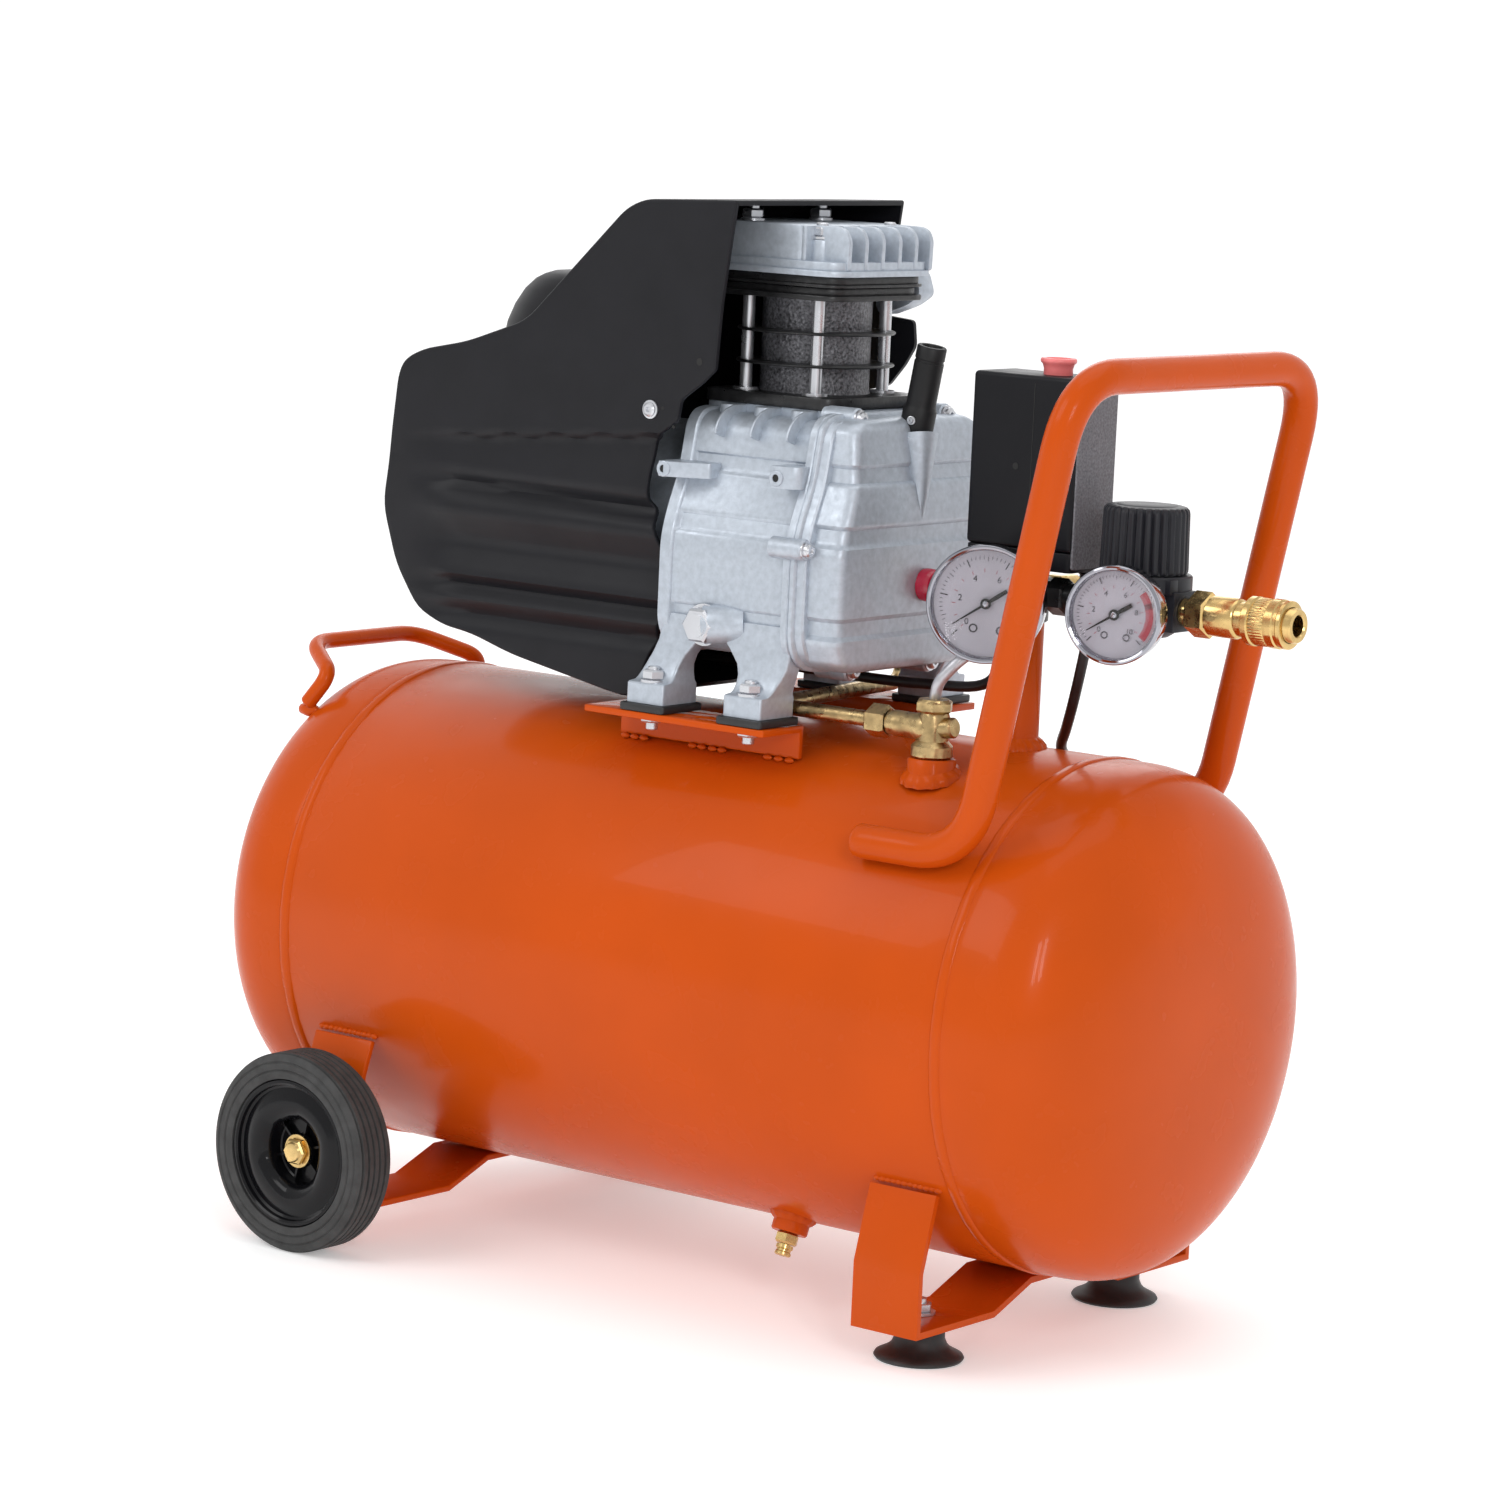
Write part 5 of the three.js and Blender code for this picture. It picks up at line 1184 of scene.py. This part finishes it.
def build_regulator():
    x = REGULATOR_X
    body = Build()
    gauge = GAUGES["outlet"]
    out, face = gauge_axis(gauge), Vector(gauge["face"])
    profile = [
        (0, 414), (12, 414), (16, 415), (20.6, 418), (22, 420), (22, 438), (24, 440), (27, 440.6),
        (28, 441.6), (28, 449.4), (27, 450.5), (5.4, 450.5), (5.4, 430), (0, 430),
    ]
    body.turned(profile, Z, (x, 0, 0), 96)
    body.rod(10, (243.4, 0, LINE_Z), (x, 0, LINE_Z), 40, 0.8)
    body.rod(10, (x, 0, LINE_Z), (296.6, 0, LINE_Z), 40, 0.8)
    body.box(286, 296.4, -11.4, 11.4, LINE_Z - 11.4, LINE_Z + 11.4)
    body.rod(7.5, face - out * 52, face - out * 37.8, 32, 0.4)
    body.box(x + 14, x + 27.6, -14, -6, 441, 449.6)
    body.done(
        "regulator_casting", "regulator_plastic", replaces="regulator_body", bevel=0.6, angle=50, sharp=38,
    )
    fasteners = Build()
    for k in range(4):
        angle = math.pi / 4 + k * math.pi / 2
        screw(fasteners, (x + 24.4 * math.cos(angle), 24.4 * math.sin(angle), 440.6), Z * -1, 2.4, 2.4)
    fasteners.done("regulator_screws", "plated_steel", sharp=30)
    knob = Build()
    profile = [
        (0, 489), (20.6, 489), (22.8, 488.4), (24.2, 487), (24.6, 485), (24.9, 470), (25.3, 454),
        (25.2, 452.4), (24.4, 451.2), (21, 451.2), (20, 477), (5.4, 477), (5.4, 483), (0, 483),
    ]
    knob.turned(profile, Z, (x, 0, 0), 360, grip)
    knob.turned([(0, 489), (17.4, 489), (17, 489.3), (0, 489.3)], Z, (x, 0, 0), 64)
    knob.done(
        "regulator_knob_cap", "regulator_plastic", "regulator_knob", replaces="regulator_knob", sharp=40,
    )


def knurl(angle, i):
    """The coupler sleeve's 44 flutes, on its middle band."""
    return -0.35 * (0.5 + 0.5 * math.cos(44 * angle)) if 5 <= i <= 6 else 0


def build_coupler():
    body = Build()
    body.rod(8, (297, 0, LINE_Z), (303.4, 0, LINE_Z), 40)
    body.hexagon(23, (302.4, 0, LINE_Z), (315.6, 0, LINE_Z), 1.4)
    profile = [
        (9.6, 315), (11.5, 316), (11.5, 332.6), (10.8, 334), (9.9, 334.6), (9.9, 370.6), (9.2, 371.8),
        (6.6, 371.8), (6, 371), (6, 335), (0, 335),
    ]
    body.turned(profile, X, (0, 0, LINE_Z), 64)
    body.done("coupler_brass", "brass", replaces="coupler_body", sharp=32)
    profile = [
        (10.3, 341), (13.2, 341), (14, 341.8), (14, 345), (13, 345.8), (13.6, 346.6), (13.6, 355),
        (13, 355.8), (14, 356.6), (14, 361.4), (13.2, 362.2), (13.2, 364), (13.8, 364.8), (13.6, 366.6),
        (12.8, 367), (10.3, 367), (10.3, 341),
    ]
    sleeve = Build().turned(profile, X, (0, 0, LINE_Z), 264, knurl)
    sleeve.done("coupler_sleeve_brass", "brass", "coupler_sleeve", replaces="coupler_sleeve", sharp=32)


def build_valves():
    valve = Build()
    x, y = INLET
    profile = [
        (0, 338.4), (11, 338.4), (12, 339.4), (12, 345), (9, 348), (9, 362), (8.2, 364), (9.6, 365.4),
        (9.6, 370.6), (8.6, 372), (0, 372),
    ]
    valve.turned(profile, Z, (x, y, 0), 48, lambda a, i: 0.4 * math.sin(3 * a + i))
    valve.hexagon(19.4, (x, y, 364.6), (x, y, 371), 1)
    valve.turned([(0, 142), (7, 142), (7.6, 146), (7.6, 160), (9.4, 166), (9, x), (0, x)], X, (0, y, 355), 40)
    valve.hexagon(17, (127.6, y, 355), (141.4, y, 355), 1.4)
    valve.rod(6, (x, y, 355), (x + 15, y, 357), 28, 1)
    valve.done("check_valve_brass", "worn_brass", replaces="check_valve", sharp=36)
    drain = Build()
    drain.hexagon(12.6, DRAIN_BASE + DRAIN_OUT * 160.2, DRAIN_BASE + DRAIN_OUT * 166.8, 1)
    drain.done("drain_valve_brass", "brass", replaces="drain_valve_body", sharp=32)
    profile = [
        (0, 161), (3, 161), (3, 167.3), (5.2, 167.5), (5.2, 169.6), (4.4, 170.2), (4.4, 171.4), (5, 172),
        (5, 173.4), (4.2, 174), (1.6, 174), (1.4, 172), (0, 172),
    ]
    tip = Build().turned(profile, DRAIN_OUT, DRAIN_BASE, 40)
    tip.done("drain_screw_brass", "brass", "drain_screw", replaces="drain_screw", sharp=32)


DISCHARGE = [
    (14, 54.4, 614.5), (12, 70, 612), (3, 73, 590), (3, 73, 535), (16, 90, 505), (27, 104, 468),
    (27, 104, 353), (54, -63, 355), (127, -63, 355),
]
UNLOADER = [
    (172, -63, 372.3), (175, -65, 382), (188, -60, 398), (190, -30, 404), (164, -14, 408), (164, -14, 446.7),
]


def build_pipes():
    thick = Build().sweep(along_path(DISCHARGE, 14, 4), 4.6, 28)
    thick.done("discharge_pipe", "worn_brass", replaces="discharge_tube", sharp=60)
    thin = Build().sweep(along_path(UNLOADER, 14, 3), 3.4, 24)
    thin.done("unloader_pipe", "grey_steel", replaces="unloader_tube", sharp=60)


build_switch()
build_line()
for gauge_name in GAUGES:
    build_gauge(gauge_name)
build_regulator()
build_coupler()
build_valves()
build_pipes()


# ---- Cables ----
LEAD = [
    (-96, 20, 383), (-84, 20, 368), (0, 22, 366), (100, 24, 366), (146, 27, 372), (162, 18, 398),
    (168, 12, 418), (168, 12, 437.7),
]
CORD = [
    (222, 14, 434.7), (222, 14, 420), (221, 15, 404), (216, 18, 386), (208, 24, 366), (197, 35, 350),
    (184, 50, 337.5), (169, 77, 325), (152, 109, 300.5), (140, 133.5, 268.5), (131, 149.2, 231),
    (124, 154.6, 191), (119, 155.2, 150), (115, 155.6, 100), (112, 156.5, 50), (108, 159, 22), (99, 165, 6.5),
    (86, 169.6, 3.7), (66, 170.8, 3.6), (44.5, 171, 3.6),
]
COIL = {"x": 20, "y": 210, "mean": 35.75}
CORD_RADIUS = 3.25


def coil_turns(turns, per_turn=40):
    """Turns that lie beside and on each other: out, in, up and out again, ending on the far side."""
    centre = Vector((COIL["x"], COIL["y"], 0))
    result = []
    for k in range(int(turns * per_turn) + 1):
        done = k / per_turn
        angle = -math.pi / 2 - 2 * math.pi * done
        lane = done % 2
        inward_share = smoothstep(lane, 0.85, 1.15) - smoothstep(lane, 1.85, 2.0)
        level = smoothstep(done, 1.8, 2.1)
        radius = COIL["mean"] + CORD_RADIUS * (1 - 2 * inward_share)
        z = CORD_RADIUS + 0.4 + level * 2 * CORD_RADIUS
        result.append(centre + Vector((radius * math.cos(angle), radius * math.sin(angle), z)))
    return result


def build_cables():
    lead = Build().sweep(along_path(LEAD, 0, 5), 3.2, 20)
    lead.done("motor_lead_cable", "cable_black", replaces="motor_lead", sharp=60)
    run = smooth_curve([Vector(p) for p in CORD], 4)
    plug_start = Vector((COIL["x"] + 24.5, COIL["y"] + COIL["mean"] + CORD_RADIUS, 13.6))
    coil = coil_turns(4.5)
    whole = run[:-2] + coil + [plug_start - X * 10 - Z * 1.6, plug_start + X * 2]
    points = [at(*p) for p in smooth_curve(whole, 2)]
    curve = bpy.data.curves.new("supply_cord", "CURVE")
    curve.dimensions = "3D"
    curve.bevel_depth = CORD_RADIUS * MM
    curve.bevel_resolution = 5
    curve.use_fill_caps = True
    spline = curve.splines.new("POLY")
    spline.points.add(len(points) - 1)
    for point, place in zip(spline.points, points):
        point.co = (*place, 1)
    cord = link("supply_cord", curve)
    curve.materials.append(MATERIALS["cable_black"])
    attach(cord, "base")
    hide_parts("power_cord", "power_cord_coil")
    plug = Build()
    profile = [
        (0, 0), (4.2, 0), (4.6, 2), (4.2, 4), (4.9, 6), (4.5, 8), (5.2, 10), (4.8, 12), (5.6, 14), (5.4, 20),
        (9, 23), (11.4, 27), (12.6, 33), (13, 40), (13, 56), (12.4, 57.6), (11, 58), (0, 58),
    ]
    plug.turned(profile, X, plug_start, 48)
    plug_body = plug.done("power_plug_body", "black_rubber", replaces="power_plug", sharp=40)
    pins = Build()
    for offset in (-9.5, 9.5):
        pins.rod(2.4, plug_start + X * 57 + Y * offset, plug_start + X * 77 + Y * offset, 20, 0.8)
    plug_pins = pins.done("plug_pins", "plated_steel", sharp=40)


build_cables()


# ---- CAD nodes that stay as they are, with their materials ----
def paint_cad_nodes():
    by_node = {s["node"]: s["material_slot"] for s in frame["record"]["subparts"]}
    for node, obj in frame["nodes"].items():
        if obj.hide_render:
            continue
        obj.data.materials.clear()
        obj.data.materials.append(MATERIALS[by_node[node]])


paint_cad_nodes()


# ---- Studio ----
def area_light(name, place, target, size, power, tall=None):
    light = bpy.data.lights.new(name, "AREA")
    light.shape = "RECTANGLE"
    light.size, light.size_y = size, tall or size
    light.energy = power
    obj = link(name, light)
    direction = Vector(target) - Vector(place)
    aim = direction.to_track_quat("-Z", "Y").to_matrix().to_4x4()
    obj.matrix_world = Matrix.Translation(Vector(place)) @ aim


def build_studio():
    """A pale floor that curves up into a wall behind the compressor, and the lights. Metres."""
    floor = bpy.data.objects.new("floor", bpy.data.meshes.new("floor"))
    heading = math.radians(52.5)
    behind = Vector((-math.cos(heading), math.sin(heading), 0))
    across = Vector((behind.y, -behind.x, 0))
    reach, flat, curve, wall = 30, 5, 3, 9
    angles = [math.pi * k / 48 for k in range(1, 25)]
    profile = [(-reach, 0), (flat, 0)]
    profile += [(flat + curve * math.sin(a), curve - curve * math.cos(a)) for a in angles]
    profile += [(flat + curve, wall)]
    corners = [behind * far + across * side + Z * up for far, up in profile for side in (-reach, reach)]
    faces = [(2 * k, 2 * k + 2, 2 * k + 3, 2 * k + 1) for k in range(len(profile) - 1)]
    floor.data.from_pydata(corners, [], faces)
    floor.data.polygons.foreach_set("use_smooth", [True] * len(floor.data.polygons))
    bpy.context.scene.collection.objects.link(floor)
    white = (1, 1, 1, 1)
    glow = {"Specular_IOR_Level": 0.1, "Emission_Color": white, "Emission_Strength": 0.3}
    floor.data.materials.append(Shader("pale_floor", (0.9, 0.9, 0.9), 0.8, **glow).mottle(0.8, 0.01).material)
    world = bpy.data.worlds.new("studio")
    bpy.context.scene.world = world
    world.use_nodes = True
    background = world.node_tree.nodes["Background"]
    background.inputs["Color"].default_value = white
    background.inputs["Strength"].default_value = 0.74
    area_light("key", (-1.2, -2.4, 2.4), (0, 0, 0.3), 1.8, 24, 1.4)
    area_light("left window", (2.12, -2.0, 1.5), (0.25, 0, 0.3), 0.2, 9, 0.9)
    area_light("right window", (2.36, -1.72, 1.5), (0.25, 0, 0.3), 0.2, 9, 0.9)
    area_light("top", (0.2, 0.3, 2.8), (0, 0, 0.3), 2.2, 15)
    area_light("back", (-1.6, 2.4, 1.8), (0, 0, 0.4), 1.4, 8)


build_studio()
bpy.context.view_layer.update()
